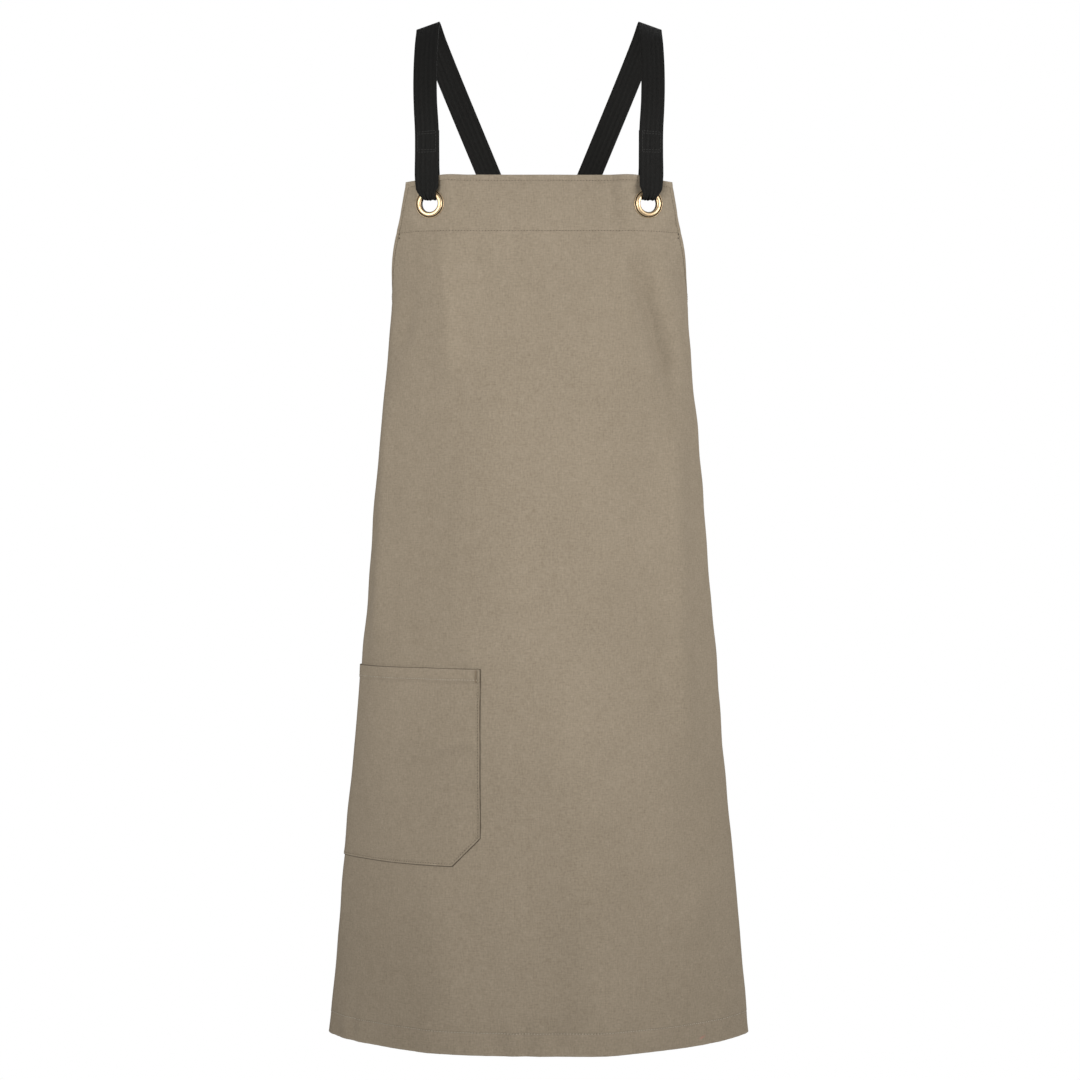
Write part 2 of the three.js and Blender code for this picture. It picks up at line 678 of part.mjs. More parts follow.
const apron = new THREE.Group();

function addPiece(name, geometry, material) {
  const mesh = new THREE.Mesh(geometry, material);
  mesh.name = name;
  apron.add(mesh);
}

const patches = panelPatches();
addPiece("apron_panel", panelGeometry(patches), canvas);
addPiece("pocket", pocketGeometry(patches), canvas);
for (const [side, name] of [[-1, "left"], [1, "right"]]) {
  addPiece(`eyelet_${name}`, eyeletGeometry(side), brass);
  addPiece(`washer_${name}`, washerGeometry(side), brass);
  addPiece(`strap_${name}`, strapGeometry(side), webbing);
}

export default apron;
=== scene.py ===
"""Looks of a cross back work apron, made around its solids.

Metres, +Z up, the bib faces -Y and +X is the viewer's right. Cloth, webbing and thread are sewn
flat first: x runs across a flat piece, y up it and z out of its front. The panel and its pocket
are then hung by one formula, and each strap is laid along its own line. Both follow the same
sizes as the solids. The soft folds are set here alone, and most of them aren't in the solids.
"""
import logging
import math
from collections.abc import Callable, Iterable, Sequence
from dataclasses import dataclass, field
from enum import Enum

import bmesh
import bpy
import numpy as np
from mathutils import Matrix, Vector


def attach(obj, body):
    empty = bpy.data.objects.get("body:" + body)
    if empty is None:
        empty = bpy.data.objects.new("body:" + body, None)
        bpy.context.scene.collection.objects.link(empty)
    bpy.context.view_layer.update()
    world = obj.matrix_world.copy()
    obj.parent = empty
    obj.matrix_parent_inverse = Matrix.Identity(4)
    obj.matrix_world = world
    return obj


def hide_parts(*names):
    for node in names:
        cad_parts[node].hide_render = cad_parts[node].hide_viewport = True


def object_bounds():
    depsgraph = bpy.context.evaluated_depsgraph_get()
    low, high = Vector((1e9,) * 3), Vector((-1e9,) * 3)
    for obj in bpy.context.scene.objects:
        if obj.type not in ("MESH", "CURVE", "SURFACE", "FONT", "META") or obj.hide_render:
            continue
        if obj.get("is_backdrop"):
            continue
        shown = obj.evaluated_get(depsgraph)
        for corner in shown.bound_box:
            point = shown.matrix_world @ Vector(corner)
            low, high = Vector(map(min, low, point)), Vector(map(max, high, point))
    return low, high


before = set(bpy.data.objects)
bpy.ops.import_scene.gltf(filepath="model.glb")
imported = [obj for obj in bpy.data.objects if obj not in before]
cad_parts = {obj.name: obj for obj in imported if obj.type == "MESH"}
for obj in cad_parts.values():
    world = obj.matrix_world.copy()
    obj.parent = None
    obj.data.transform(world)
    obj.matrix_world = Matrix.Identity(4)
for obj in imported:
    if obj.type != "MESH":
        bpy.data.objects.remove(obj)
SOLID_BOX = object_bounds()
LOG = logging.getLogger("apron")
Array = np.ndarray
Mapping = Callable[[Array], Array]


class Slot(Enum):
    """The record's material slots."""

    CANVAS = "canvas"
    WEBBING = "webbing"
    BRASS = "brass"


class Side(Enum):
    """The two halves of the apron, as the viewer sees them."""

    LEFT = -1
    RIGHT = 1

    @property
    def word(self) -> str:
        """The side's name as it stands in names of pieces."""
        return self.name.lower()


def smooth(share: Array | float) -> Array | float:
    """Ease a share from 0 to 1, held at both ends."""
    held = np.clip(share, 0.0, 1.0)
    return held * held * (3.0 - 2.0 * held)


def mix(low: Array | float, high: Array | float, share: Array | float) -> Array | float:
    """Go from low to high by a share."""
    return low + (high - low) * share


def unit(vectors: Array) -> Array:
    """Scale vectors to a length of one."""
    return vectors / np.linalg.norm(vectors, axis=-1, keepdims=True)


def bell(distance: Array | float, width: float) -> Array | float:
    """A soft bump that is 1 at no distance and fades past its width."""
    return np.exp(-(distance / width) ** 2)


def hermite(start: Array, end: Array, leaving: Array, arriving: Array, share: Array) -> Array:
    """Points of a cubic between two points with given slopes.

    Args:
        start: Values at share 0.
        end: Values at share 1.
        leaving: Slopes at share 0.
        arriving: Slopes at share 1.
        share: How far along each value lies, from 0 to 1.

    Returns:
        The values at the shares.
    """
    back = 1.0 - share
    value = (1.0 + 2.0 * share) * back * back * start + share * share * (3.0 - 2.0 * share) * end
    return value + share * back * back * leaving - share * share * back * arriving


def eased(knots: Array, values: Array, at: Array) -> Array:
    """Smooth curves through rows of values, each slope the mean of its neighbours'.

    Args:
        knots: Rising places of the rows.
        values: One row of values for each knot.
        at: Places to work out.

    Returns:
        One row of values for each place.
    """
    rises = np.diff(values, axis=0) / np.diff(knots)[:, None]
    slopes = np.vstack([rises[:1], (rises[1:] + rises[:-1]) / 2.0, rises[-1:]])
    row = np.clip(np.searchsorted(knots, at, side="right") - 1, 0, len(knots) - 2)
    width = (knots[row + 1] - knots[row])[:, None]
    share = (at - knots[row])[:, None] / width
    return hermite(values[row], values[row + 1], slopes[row] * width, slopes[row + 1] * width, share)


def centripetal(points: Array, at: Array) -> Array:
    """Points of a centripetal Catmull-Rom curve.

    Args:
        points: The points that it passes.
        at: Places from 0 to the last point's number.

    Returns:
        One point for each place.
    """
    ends = [2.0 * points[0] - points[1], 2.0 * points[-1] - points[-2]]
    padded = np.vstack([ends[0], points, ends[1]])
    chords = np.sqrt(np.linalg.norm(np.diff(padded, axis=0), axis=1))[:, None]
    first = np.clip(at.astype(int), 0, len(points) - 2)
    before, start, end, after = (padded[first + i] for i in range(4))
    d0, d1, d2 = (chords[first + i] for i in range(3))
    leaving = ((start - before) / d0 - (end - before) / (d0 + d1) + (end - start) / d1) * d1
    arriving = ((end - start) / d1 - (after - start) / (d1 + d2) + (after - end) / d2) * d1
    return hermite(start, end, leaving, arriving, (at - first)[:, None])


def ruled(lines: Iterable[float], step: float) -> Array:
    """Places that hold every line, with no gap between two of them wider than a step.

    Args:
        lines: Places that have to be there.
        step: The widest gap.

    Returns:
        The rising places.
    """
    held = sorted(lines)
    spans = [
        np.linspace(low, high, max(1, math.ceil((high - low) / step - 1e-9)), endpoint=False)
        for low, high in zip(held, held[1:])
    ]
    return np.concatenate([*spans, held[-1:]])


def beside(lines: Iterable[float], reach: float) -> list[float]:
    """Each line with one more close to it on both sides."""
    return [line + offset for line in lines for offset in (-reach, 0.0, reach)]


def points_of(mesh: bpy.types.Mesh) -> Array:
    """A mesh's points as rows."""
    flat = np.empty(len(mesh.vertices) * 3, np.float32)
    mesh.vertices.foreach_get("co", flat)
    return flat.reshape(-1, 3).astype(float)


def move_points(mesh: bpy.types.Mesh, points: Array) -> None:
    """Put a mesh's points at new places."""
    mesh.vertices.foreach_set("co", points.astype(np.float32).ravel())
    mesh.update()


def finish_piece(
    thing: bpy.types.Object,
    materials: Sequence[bpy.types.Material],
    slot: Slot,
    nodes: Sequence[str] = (),
) -> bpy.types.Object:
    """Dress a piece and tie it to the frame.

    Args:
        thing: The piece, in place.
        materials: Its finishes, in the order of its faces' material numbers.
        slot: The record's slot that the finishes belong to. It is not used.
        nodes: Solids that it stands for.

    Returns:
        The same piece.
    """
    numbers = np.zeros(len(thing.data.polygons), np.int32)
    thing.data.polygons.foreach_get("material_index", numbers)
    thing.data.materials.clear()
    for material in materials:
        thing.data.materials.append(material)
    thing.data.polygons.foreach_set("material_index", numbers)
    thing.data.polygons.foreach_set("use_smooth", [True] * len(thing.data.polygons))
    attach(thing, "root")
    if nodes:
        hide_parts(*nodes)
    triangles = sum(len(face.vertices) - 2 for face in thing.data.polygons)
    LOG.info("%s: %d triangles", thing.name, triangles)
    return thing


def to_object(name: str, bm: bmesh.types.BMesh) -> bpy.types.Object:
    """Make an object of a finished bmesh and free the bmesh."""
    mesh = bpy.data.meshes.new(name)
    bm.to_mesh(mesh)
    bm.free()
    thing = bpy.data.objects.new(name, mesh)
    bpy.context.scene.collection.objects.link(thing)
    return thing


@dataclass(frozen=True)
class Flat:
    """A flat piece of cloth or webbing before it is hung.

    Attributes:
        columns: Places of its grid lines across, from the viewer's left.
        rows: Places of its grid lines from the bottom up.
        thickness: The cloth's thickness.
        rounding: How far its edges are rounded.
    """

    columns: Array
    rows: Array
    thickness: float
    rounding: float

    def grid(self) -> bmesh.types.BMesh:
        """A sheet with one corner on each crossing of the grid lines, facing +Z."""
        bm = bmesh.new()
        across, up = len(self.columns) - 1, len(self.rows) - 1
        bmesh.ops.create_grid(bm, x_segments=across, y_segments=up, size=0.5)
        for corner in bm.verts:
            column = round((corner.co.x + 0.5) * across)
            row = round((corner.co.y + 0.5) * up)
            corner.co = (self.columns[column], self.rows[row], 0.0)
        return bm

    def thicken(self, bm: bmesh.types.BMesh, soft: Callable[[Vector], bool]) -> None:
        """Give a flat sheet its wall and round its edges.

        Args:
            bm: The sheet, which ends with its front at 0 and its back below.
            soft: Tells for a place whether the edge there is rounded.
        """
        bmesh.ops.solidify(bm, geom=list(bm.faces), thickness=self.thickness)
        low = min(corner.co.z for corner in bm.verts)
        bmesh.ops.translate(bm, verts=list(bm.verts), vec=(0, 0, -self.thickness - low))
        bmesh.ops.recalc_face_normals(bm, faces=list(bm.faces))
        rim = [
            edge for edge in bm.edges
            if len(edge.link_faces) == 2
            and abs(edge.link_faces[0].normal.z - edge.link_faces[1].normal.z) > 0.5
            and soft(edge.verts[0].co)
        ]
        bmesh.ops.bevel(
            bm,
            geom=rim,
            offset=self.rounding,
            segments=2,
            profile=0.5,
            affect="EDGES",
            material=-1,
        )


def map_cloth(thing: bpy.types.Object, hang: Mapping) -> None:
    """Give a flat piece its flat place as UV, then hang it.

    Args:
        thing: The flat piece.
        hang: Turns rows of flat points into hung ones.
    """
    mesh = thing.data
    flat = points_of(mesh)
    layer = mesh.uv_layers.new(name="cloth")
    corners = np.empty(len(mesh.loops), np.int32)
    mesh.loops.foreach_get("vertex_index", corners)
    layer.data.foreach_set("uv", flat[corners, :2].astype(np.float32).ravel())
    move_points(mesh, hang(flat))


@dataclass(frozen=True)
class PanelCut:
    """Flat sizes of the cloth panel.

    Attributes:
        length: From the bib's top to the bottom edge.
        half_width: Half its width below the armholes.
        top_half_width: Half the bib's width at its top.
        armhole_drop: Where the armholes end, below the bib's top.
        armhole_flare: Share of an armhole's line that is straight instead of curved.
        armhole_curve: Power of the curved share.
        cloth: Thickness of the single cloth.
        turning: What a turned edge adds to it.
        facing: Depth of the facing along the bib's top.
        hem: Depth of the bottom hem.
        side_hem: Depth of the side turnings.
        area: Area of the sewn panel. It is not used.
    """

    length: float = 0.918
    half_width: float = 0.370
    top_half_width: float = 0.1415
    armhole_drop: float = 0.265
    armhole_flare: float = 0.21
    armhole_curve: float = 2.1
    cloth: float = 0.0012
    turning: float = 0.0008
    facing: float = 0.060
    hem: float = 0.025
    side_hem: float = 0.006
    area: float = 0.602

    @property
    def outline(self) -> tuple[tuple[float, float, float], ...]:
        """The straight sides of the flat cloth, as its finish reads them."""
        return (
            (0.0, -1.0, 0.0),
            (0.0, 1.0, self.length),
            (1.0, 0.0, self.half_width),
            (-1.0, 0.0, self.half_width),
        )

    def edge(self, down: Array | float) -> Array | float:
        """Half the cloth's width at each drop below the bib's top."""
        share = np.clip(np.asarray(down) / self.armhole_drop, 0.0, 1.0)
        grown = mix(share**self.armhole_curve, share, self.armhole_flare)
        return mix(self.top_half_width, self.half_width, grown)

    def slant(self, down: Array | float) -> Array | float:
        """How much wider than square a band along the armhole's edge is when measured across."""
        share = np.clip(np.asarray(down) / self.armhole_drop, 1e-6, 1.0)
        rise = (self.half_width - self.top_half_width) / self.armhole_drop
        curved = self.armhole_curve * share ** (self.armhole_curve - 1.0)
        slope = rise * mix(curved, 1.0, self.armhole_flare)
        leaving = 1.0 - smooth((np.asarray(down) - 0.86 * self.armhole_drop) / (0.14 * self.armhole_drop))
        return 1.0 + (np.sqrt(1.0 + slope * slope) - 1.0) * leaving


@dataclass(frozen=True)
class EyeletSizes:
    """Sizes of an eyelet and its washer, and where it sits on the flat bib.

    Attributes:
        bore: Radius of the way through.
        outer: Radius of the lip's outer edge.
        inset: How far its middle lies in from the bib's upper corner.
        drop: How far its middle lies below the bib's top.
        dome_width: How far the dome reaches out from the bore.
        dome_height: Height of the dome over its seat.
        lip_height: Height of the lip over its seat.
        barrel_wall: Wall of the barrel through the cloth.
        curl_width: How far the curled end reaches out from the bore.
        curl_height: Depth of the curled end.
        barrel_flare: How far the curled end's inner side stands out from the bore.
        opening: How far the dome's inner side stands out from the bore.
        washer_outer: Radius of the washer.
        washer_thickness: Thickness of the washer.
        gap: Clearance between pieces that touch on the real thing.
        dome_foot: Height over the seat at which the dome starts to curve.
        groove_floor: Height of the groove between dome and lip.
        lip_edge: Rounding of the lip's corners.
        bore_patina: How far out from the bore the patina inside the barrel reaches.
        groove_patina: How far out from the bore the groove's patina starts and ends.
    """

    bore: float = 0.0085
    outer: float = 0.01525
    inset: float = 0.0275
    drop: float = 0.030
    dome_width: float = 0.0052
    dome_height: float = 0.0022
    lip_height: float = 0.0007
    barrel_wall: float = 0.0006
    curl_width: float = 0.0022
    curl_height: float = 0.0012
    barrel_flare: float = 0.0007
    opening: float = 0.00035
    washer_outer: float = 0.0135
    washer_thickness: float = 0.0008
    gap: float = 0.00035
    dome_foot: float = 0.0003
    groove_floor: float = 0.00012
    lip_edge: float = 0.0001
    bore_patina: float = 0.0007
    groove_patina: tuple[float, float] = (0.0051, 0.0062)

    @property
    def grooves(self) -> tuple[tuple[float, float], tuple[float, float]]:
        """Radii between which patina lies, in the barrel and round the dome."""
        inner, outer = (self.bore + reach for reach in self.groove_patina)
        return (0.0, self.bore + self.bore_patina), (inner, outer)

    @property
    def hole(self) -> float:
        """Radius of the hole in the cloth."""
        return self.bore + self.barrel_wall + self.gap

    def washer_front(self, cloth: float) -> float:
        """Height of the washer's front for a thickness of cloth."""
        return -cloth - self.gap

    def curl_front(self, cloth: float) -> float:
        """Height at which the barrel's end starts to curl."""
        return self.washer_front(cloth) - self.washer_thickness - self.gap


@dataclass(frozen=True)
class Level:
    """A level section of the hanging panel.

    Attributes:
        drop: How far down it lies, as a share of the panel's length.
        spread: Half its width, as a share of the hem's half spread.
        flat: Half the width of its flat middle, as a share of the same.
        turn: Degrees that it has turned where its side bends start.
        bend: Radius of the side bends, as a share of the hem's half spread.
        back: How far behind the skirt's front it lies, as a share of the setback.
    """

    drop: float
    spread: float
    flat: float
    turn: float
    bend: float
    back: float


@dataclass(frozen=True)
class Fold:
    """A soft fold, raised along a line between two places of the flat cloth.

    Attributes:
        across: Where it starts, as a share of the half width.
        down: Where it starts, as a share of the length.
        to_across: Where it ends across.
        to_down: Where it ends down.
        width: Its width, as a share of the half width.
        height: Its height in fold heights. Below 0 it is a hollow.
    """

    across: float
    down: float
    to_across: float
    to_down: float
    width: float
    height: float


@dataclass(frozen=True)
class Hanging:
    """How the flat panel takes its worn form.

    Attributes:
        cut: The flat panel.
        eyelet: Its eyelets.
        hem_half_spread: Half the width of the worn hem.
        back_turn: How far the section has turned where its straight back starts.
        droop: How far the bib's top corners hang down.
        fold_height: Height of a soft fold of height 1.
        top: Height of the bib's top.
        setback: How far the skirt's front lies in front of the origin.
        held_margin: How far past an eyelet the cloth is held flat.
        held_fade: Over what distance that fades out.
        levels: Sections of the worn panel, from the bib's top down.
        folds: The soft folds.
        waves: How many small waves make the cloth uneven.
        wave_lengths: Lengths of the shortest and the longest wave.
        wave_height: Height of each wave.
        pucker_pitch: Length of the small ripples along a sewn edge.
        pucker_height: Height of those ripples.
        slack: Height of the longer ripples along the bottom hem.
    """

    cut: PanelCut = PanelCut()
    eyelet: EyeletSizes = EyeletSizes()
    hem_half_spread: float = 0.2295
    back_turn: float = math.radians(155.0)
    droop: float = 0.0065
    fold_height: float = 0.0052
    top: float = -0.172
    setback: float = 0.110
    held_margin: float = 0.0035
    held_fade: float = 0.022
    levels: tuple[Level, ...] = (
        Level(0.0, 0.65, 0.465, 54.0, 0.17, 0.055),
        Level(0.065, 0.7, 0.37, 52.0, 0.174, 0.027),
        Level(0.12, 0.685, 0.261, 60.0, 0.183, 0.009),
        Level(0.18, 0.7, 0.174, 64.0, 0.196, 0.0),
        Level(0.312, 0.752, 0.087, 64.0, 0.196, 0.0),
        Level(0.545, 0.834, 0.022, 64.0, 0.183, 0.0),
        Level(1.0, 1.0, 0.0, 64.0, 0.174, 0.0),
    )
    folds: tuple[Fold, ...] = (
        Fold(0.25, 0.075, 0.45, 0.25, 0.034, -1.9),
        Fold(0.34, 0.09, 0.53, 0.22, 0.045, 0.7),
        Fold(-0.27, 0.04, -0.265, 0.25, 0.042, 1.2),
        Fold(-0.37, 0.12, -0.46, 0.2, 0.04, -0.9),
        Fold(-0.5, 0.22, -0.55, 0.58, 0.05, 1.1),
        Fold(-0.32, 0.3, -0.36, 0.6, 0.055, -1.2),
        Fold(0.42, 0.24, 0.47, 0.7, 0.055, 1.2),
        Fold(-0.2, 0.06, -0.13, 0.16, 0.03, -0.5),
        Fold(-0.1, 0.05, 0.02, 0.19, 0.035, -0.6),
        Fold(0.19, 0.08, 0.21, 0.18, 0.03, -0.4),
        Fold(0.05, 0.55, 0.26, 1.2, 0.1, 1.5),
        Fold(-0.3, 0.72, -0.32, 1.15, 0.12, 1.1),
        Fold(-0.32, 0.655, -0.16, 0.64, 0.02, 0.35),
        Fold(-0.32, 0.71, -0.17, 0.69, 0.02, -0.3),
        Fold(-0.31, 0.54, -0.2, 0.57, 0.022, -0.35),
    )
    waves: int = 28
    wave_lengths: tuple[float, float] = (0.05, 0.22)
    wave_height: float = 0.00016
    pucker_pitch: float = 0.0105
    pucker_height: float = 0.00026
    slack: float = 0.0011

    @property
    def eyelet_across(self) -> float:
        """How far an eyelet's centre lies from the bib's centre line."""
        return self.cut.top_half_width - self.eyelet.inset

    def drape(self, across: Array, down: Array) -> Array:
        """The hanging cloth's front face without its folds.

        Args:
            across: Places across the flat cloth.
            down: Places down it.

        Returns:
            One point for each place.
        """
        rows = np.array([[r.spread, r.flat, r.turn, r.bend, r.back] for r in self.levels])
        knots = np.array([row.drop for row in self.levels]) * self.cut.length
        held = np.clip(down, 0.0, self.cut.length)
        spread, flat, turn, bend, back = eased(knots, rows, held).T
        turned = np.radians(turn)
        side = bend * self.hem_half_spread
        level = flat * self.hem_half_spread
        reach = spread * self.hem_half_spread - level - side * (1.0 - np.sin(turned))
        front = reach / np.sin(turned)
        length = np.abs(across)
        front_arc = front * turned
        side_arc = side * (self.back_turn - turned)
        on_front = np.clip(length - level, 0.0, front_arc) / front
        heading = turned + np.clip(length - level - front_arc, 0.0, side_arc) / side
        straight = np.maximum(length - level - front_arc - side_arc, 0.0)
        x = np.minimum(length, level) + front * np.sin(on_front)
        x = x + side * (np.sin(heading) - np.sin(turned)) + straight * math.cos(self.back_turn)
        depth = front * (1.0 - np.cos(on_front)) + side * (np.cos(turned) - np.cos(heading))
        depth = depth + straight * math.sin(self.back_turn)
        y = back * self.setback + depth - self.setback
        return np.stack([np.sign(across) * x, y, self.top - down], axis=-1)

    def corner_droop(self, across: Array, down: Array) -> Array:
        """How far the bib's top corners hang down outside the straps."""
        eyelet = self.eyelet
        beside_it = np.abs(across) - self.eyelet_across
        flat = eyelet.outer + self.held_margin
        outward = smooth((beside_it + flat) / (flat + eyelet.inset))
        upper = 1.0 - smooth(down / self.cut.facing)
        distance = np.hypot(beside_it, down - eyelet.drop)
        clear = smooth((distance - eyelet.outer) / (eyelet.drop - eyelet.outer))
        return self.droop * outward * upper * clear

    def eyelet_frame(self, side: Side) -> tuple[Array, Array, Array, Array]:
        """The point, right, up and outward directions of the cloth at an eyelet."""
        across = np.array([side.value * self.eyelet_across])
        found = frames(self.drape, across, np.array([self.eyelet.drop]))
        return tuple(rows[0] for rows in found)

    def held_flat(self, across: Array, down: Array) -> Array:
        """How much the eyelets hold the cloth flat, from 0 to 1."""
        beside_it = np.abs(across) - self.eyelet_across
        distance = np.hypot(beside_it, np.maximum(down - self.eyelet.drop, 0.0))
        return 1.0 - smooth((distance - self.eyelet.outer - self.held_margin) / self.held_fade)

    def relief(self, across: Array, down: Array) -> Array:
        """How far folds, unevenness and puckers stand out of the hanging cloth."""
        total = np.zeros_like(across)
        for fold in self.folds:
            start = np.array([fold.across * self.cut.half_width, fold.down * self.cut.length])
            end = np.array([fold.to_across * self.cut.half_width, fold.to_down * self.cut.length])
            way = end - start
            x, y = across - start[0], down - start[1]
            along = (x * way[0] + y * way[1]) / (way @ way)
            aside = (x * way[1] - y * way[0]) / np.linalg.norm(way)
            fade = smooth(2.0 - np.abs(4.0 * along - 2.0))
            raised = fold.height * self.fold_height * fade
            total += raised * bell(aside, fold.width * self.cut.half_width)
        random = np.random.default_rng(11)
        for length, turn, phase in zip(
            random.uniform(*self.wave_lengths, self.waves),
            random.uniform(0.0, math.pi, self.waves),
            random.uniform(0.0, math.tau, self.waves),
        ):
            along = across * math.cos(turn) + down * math.sin(turn)
            total += self.wave_height * np.sin(math.tau * along / length + phase)
        return total + self.puckers(across, down)

    def puckers(self, across: Array, down: Array) -> Array:
        """Small ripples where the hems are sewn, and longer ones along the bottom."""
        inset = (self.cut.edge(down) - np.abs(across)) / self.cut.slant(down)
        beat = math.tau / self.pucker_pitch
        # Each row's beat drifts, so that its ripples don't repeat.
        drift = 2.0 * np.sin(across * 31.0) + 1.5 * np.sin(across * 57.0 + 1.0)
        run = 2.0 * np.sin(down * 37.0) + 1.5 * np.sin(down * 61.0 + 2.0)
        bottom = np.sin(across * beat + drift) * bell(self.cut.length - self.cut.hem - down, 0.006)
        lower = np.sin(across * beat * 0.8 + drift) * bell(self.cut.length - down, 0.008)
        facing = np.sin(across * beat + drift * 1.3) * bell(down - self.cut.facing, 0.005)
        sides = np.sin(down * beat + run) * bell(inset - self.cut.side_hem, 0.004)
        ripples = self.pucker_height * (bottom + lower + 0.6 * facing + 0.8 * sides)
        longer = np.sin(across * 108.0 + drift) + 0.7 * np.sin(across * 59.0 + 1.3 * drift)
        return ripples + self.slack * longer * bell(self.cut.length - 0.012 - down, 0.02)

    def surface(self, across: Array, down: Array) -> Array:
        """The cloth's front face with its relief, held flat round the eyelets."""
        lowered = down + self.corner_droop(across, down)
        point, _, _, normal = frames(self.drape, across, lowered)
        held = self.held_flat(across, down)[:, None]
        for side in Side:
            centre, right, up, _ = self.eyelet_frame(side)
            aside = (across - side.value * self.eyelet_across)[:, None]
            plane = centre + aside * right + (self.eyelet.drop - lowered)[:, None] * up
            here = held * (np.sign(across) == side.value)[:, None]
            point = mix(point, plane, here)
        return point + (self.relief(across, down) * (1.0 - held[:, 0]))[:, None] * normal

    def hang(self, flat: Array) -> Array:
        """Hang flat points: x across, y up from the bib's top, z out of the front."""
        point, _, _, normal = frames(self.surface, flat[:, 0], -flat[:, 1])
        return point + flat[:, 2:] * normal


def frames(surface: Callable, across: Array, down: Array) -> tuple[Array, Array, Array, Array]:
    """Points of a surface with their directions.

    Args:
        surface: Gives the point for places across and down the flat cloth.
        across: Places across.
        down: Places down.

    Returns:
        The points, and unit directions to the right, up and out of the front.
    """
    step = 0.0005
    right = unit(surface(across + step, down) - surface(across - step, down))
    below = surface(across, down + step) - surface(across, down - step)
    normal = unit(np.cross(below, right))
    return surface(across, down), right, np.cross(normal, right), normal


class Finish(Enum):
    """The finishes of a piece of stitching, in the order of their material numbers."""

    YARN = 0
    HOLE = 1
    LIGHT = 2
    TACK = 3


@dataclass
class Thread:
    """Rows of lock stitches and tacks, gathered into one mesh of arrays.

    Attributes:
        name: The piece's name.
        pitch: Length from one stitch to the next.
        width: The thread's thickness.
        hole: Length of a needle hole, as a share of the pitch.
        hole_width: Width of a needle hole, as a share of the thread's.
        stitches: Hung points of the rows, one array for each.
        yarns: Finish numbers of the stitches, one array for each row.
    """

    name: str
    pitch: float = 0.0031
    width: float = 0.00050
    hole: float = 0.36
    hole_width: float = 1.25
    stitches: list[Array] = field(default_factory=list)
    yarns: list[Array] = field(default_factory=list)

    def one_stitch(self) -> bmesh.types.BMesh:
        """One stitch of unit size along X, and the needle hole at its end, one unit further on."""
        bm = bmesh.new()
        turn = Matrix.Rotation(math.pi / 2.0, 4, "Y")
        bmesh.ops.create_uvsphere(bm, u_segments=6, v_segments=5, radius=0.5, matrix=turn)
        pit = Matrix.Translation((2.0, 0.0, 0.0))
        made = bmesh.ops.create_uvsphere(bm, u_segments=6, v_segments=3, radius=0.5, matrix=pit)
        # The pit takes the hole finish, a dark colour that paints the shade in a needle hole.
        for face in {face for corner in made["verts"] for face in corner.link_faces}:
            face.material_index = Finish.HOLE.value
        return bm

    def sew(
        self,
        path: Sequence[tuple[float, float]],
        height: float,
        hang: Mapping,
        yarn: Finish = Finish.YARN,
    ) -> None:
        """Sew one row.

        Args:
            path: Corners of the row on the flat piece.
            height: Height of the flat face that it lies on. Below 0 is the back.
            hang: Hangs the flat piece.
            yarn: The finish of its thread.
        """
        corners = np.array(path, float)
        lengths = np.linalg.norm(np.diff(corners, axis=0), axis=1)
        ends = np.concatenate([[0.0], np.cumsum(lengths)])
        count = max(1, round(ends[-1] / self.pitch))
        middles = (np.arange(count) + 0.5) * ends[-1] / count
        spots = np.stack([np.interp(middles, ends, corners[:, i]) for i in range(2)], axis=-1)
        ways = unit(np.diff(corners, axis=0))
        way = ways[np.clip(np.searchsorted(ends, middles) - 1, 0, len(ways) - 1)]
        long = self.hole * self.pitch
        self.place(spots, way, (self.pitch - 0.7 * long, self.pitch, long), height, hang)
        self.yarns.append(np.full(count, yarn.value))

    def tack(
        self,
        start: tuple[float, float],
        end: tuple[float, float],
        width: float,
        height: float,
        hang: Mapping,
        yarn: Finish = Finish.TACK,
    ) -> None:
        """Sew a bar tack of close stitches that lie square to its line.

        Args:
            start: One end of the tack on the flat piece.
            end: Its other end.
            width: How wide it is.
            height: Height of the flat face that it lies on.
            hang: Hangs the flat piece.
            yarn: The finish of its thread.
        """
        line = np.array([start, end], float)
        length = np.linalg.norm(line[1] - line[0])
        count = max(2, round(length / self.width))
        spots = mix(line[0], line[1], ((np.arange(count) + 0.5) / count)[:, None])
        along = (line[1] - line[0]) / length
        turn = np.where(np.arange(count) % 2, 0.12, -0.12)[:, None]
        way = unit(np.array([[-along[1], along[0]]]) + turn * along)
        self.place(spots, way, (width, width, 0.6 * self.width), height, hang)
        self.yarns.append(np.full(count, yarn.value))

    def place(
        self,
        spots: Array,
        way: Array,
        sizes: tuple[float, float, float],
        height: float,
        hang: Mapping,
    ) -> None:
        """Lay stitches on a flat piece and hang them with it.

        Args:
            spots: Their middles.
            way: Their directions.
            sizes: Length of a stitch, from one needle hole to the next, and of a hole.
            height: Height of the face that they lie on. Below 0 is the back.
            hang: Hangs the flat piece.
        """
        length, pitch, hole = sizes
        bm = self.one_stitch()
        shape = np.array([corner.co for corner in bm.verts], float)
        bm.free()
        pit = shape[:, 0] > 1.0
        sunk = (shape[:, 0] - 2.0) * hole + pitch / 2.0
        along = np.where(pit, sunk, shape[:, 0] * length)[None, :, None]
        broad = shape[:, 1] * self.width * np.where(pit, self.hole_width, 1.0)
        side = np.stack([-way[:, 1], way[:, 0]], axis=-1)
        flat = spots[:, None, :] + along * way[:, None, :] + broad[None, :, None] * side[:, None, :]
        out = 1.0 if height >= 0.0 else -1.0
        arch = 0.30 - 1.5 * shape[:, 0] ** 2
        lift = np.where(pit, 0.5 * shape[:, 2] - 0.30, 0.9 * shape[:, 2] + arch)
        rise = height + out * self.width * lift
        rows = np.concatenate([flat, np.broadcast_to(rise[None, :, None], flat.shape[:2] + (1,))], axis=2)
        self.stitches.append(hang(rows.reshape(-1, 3)))

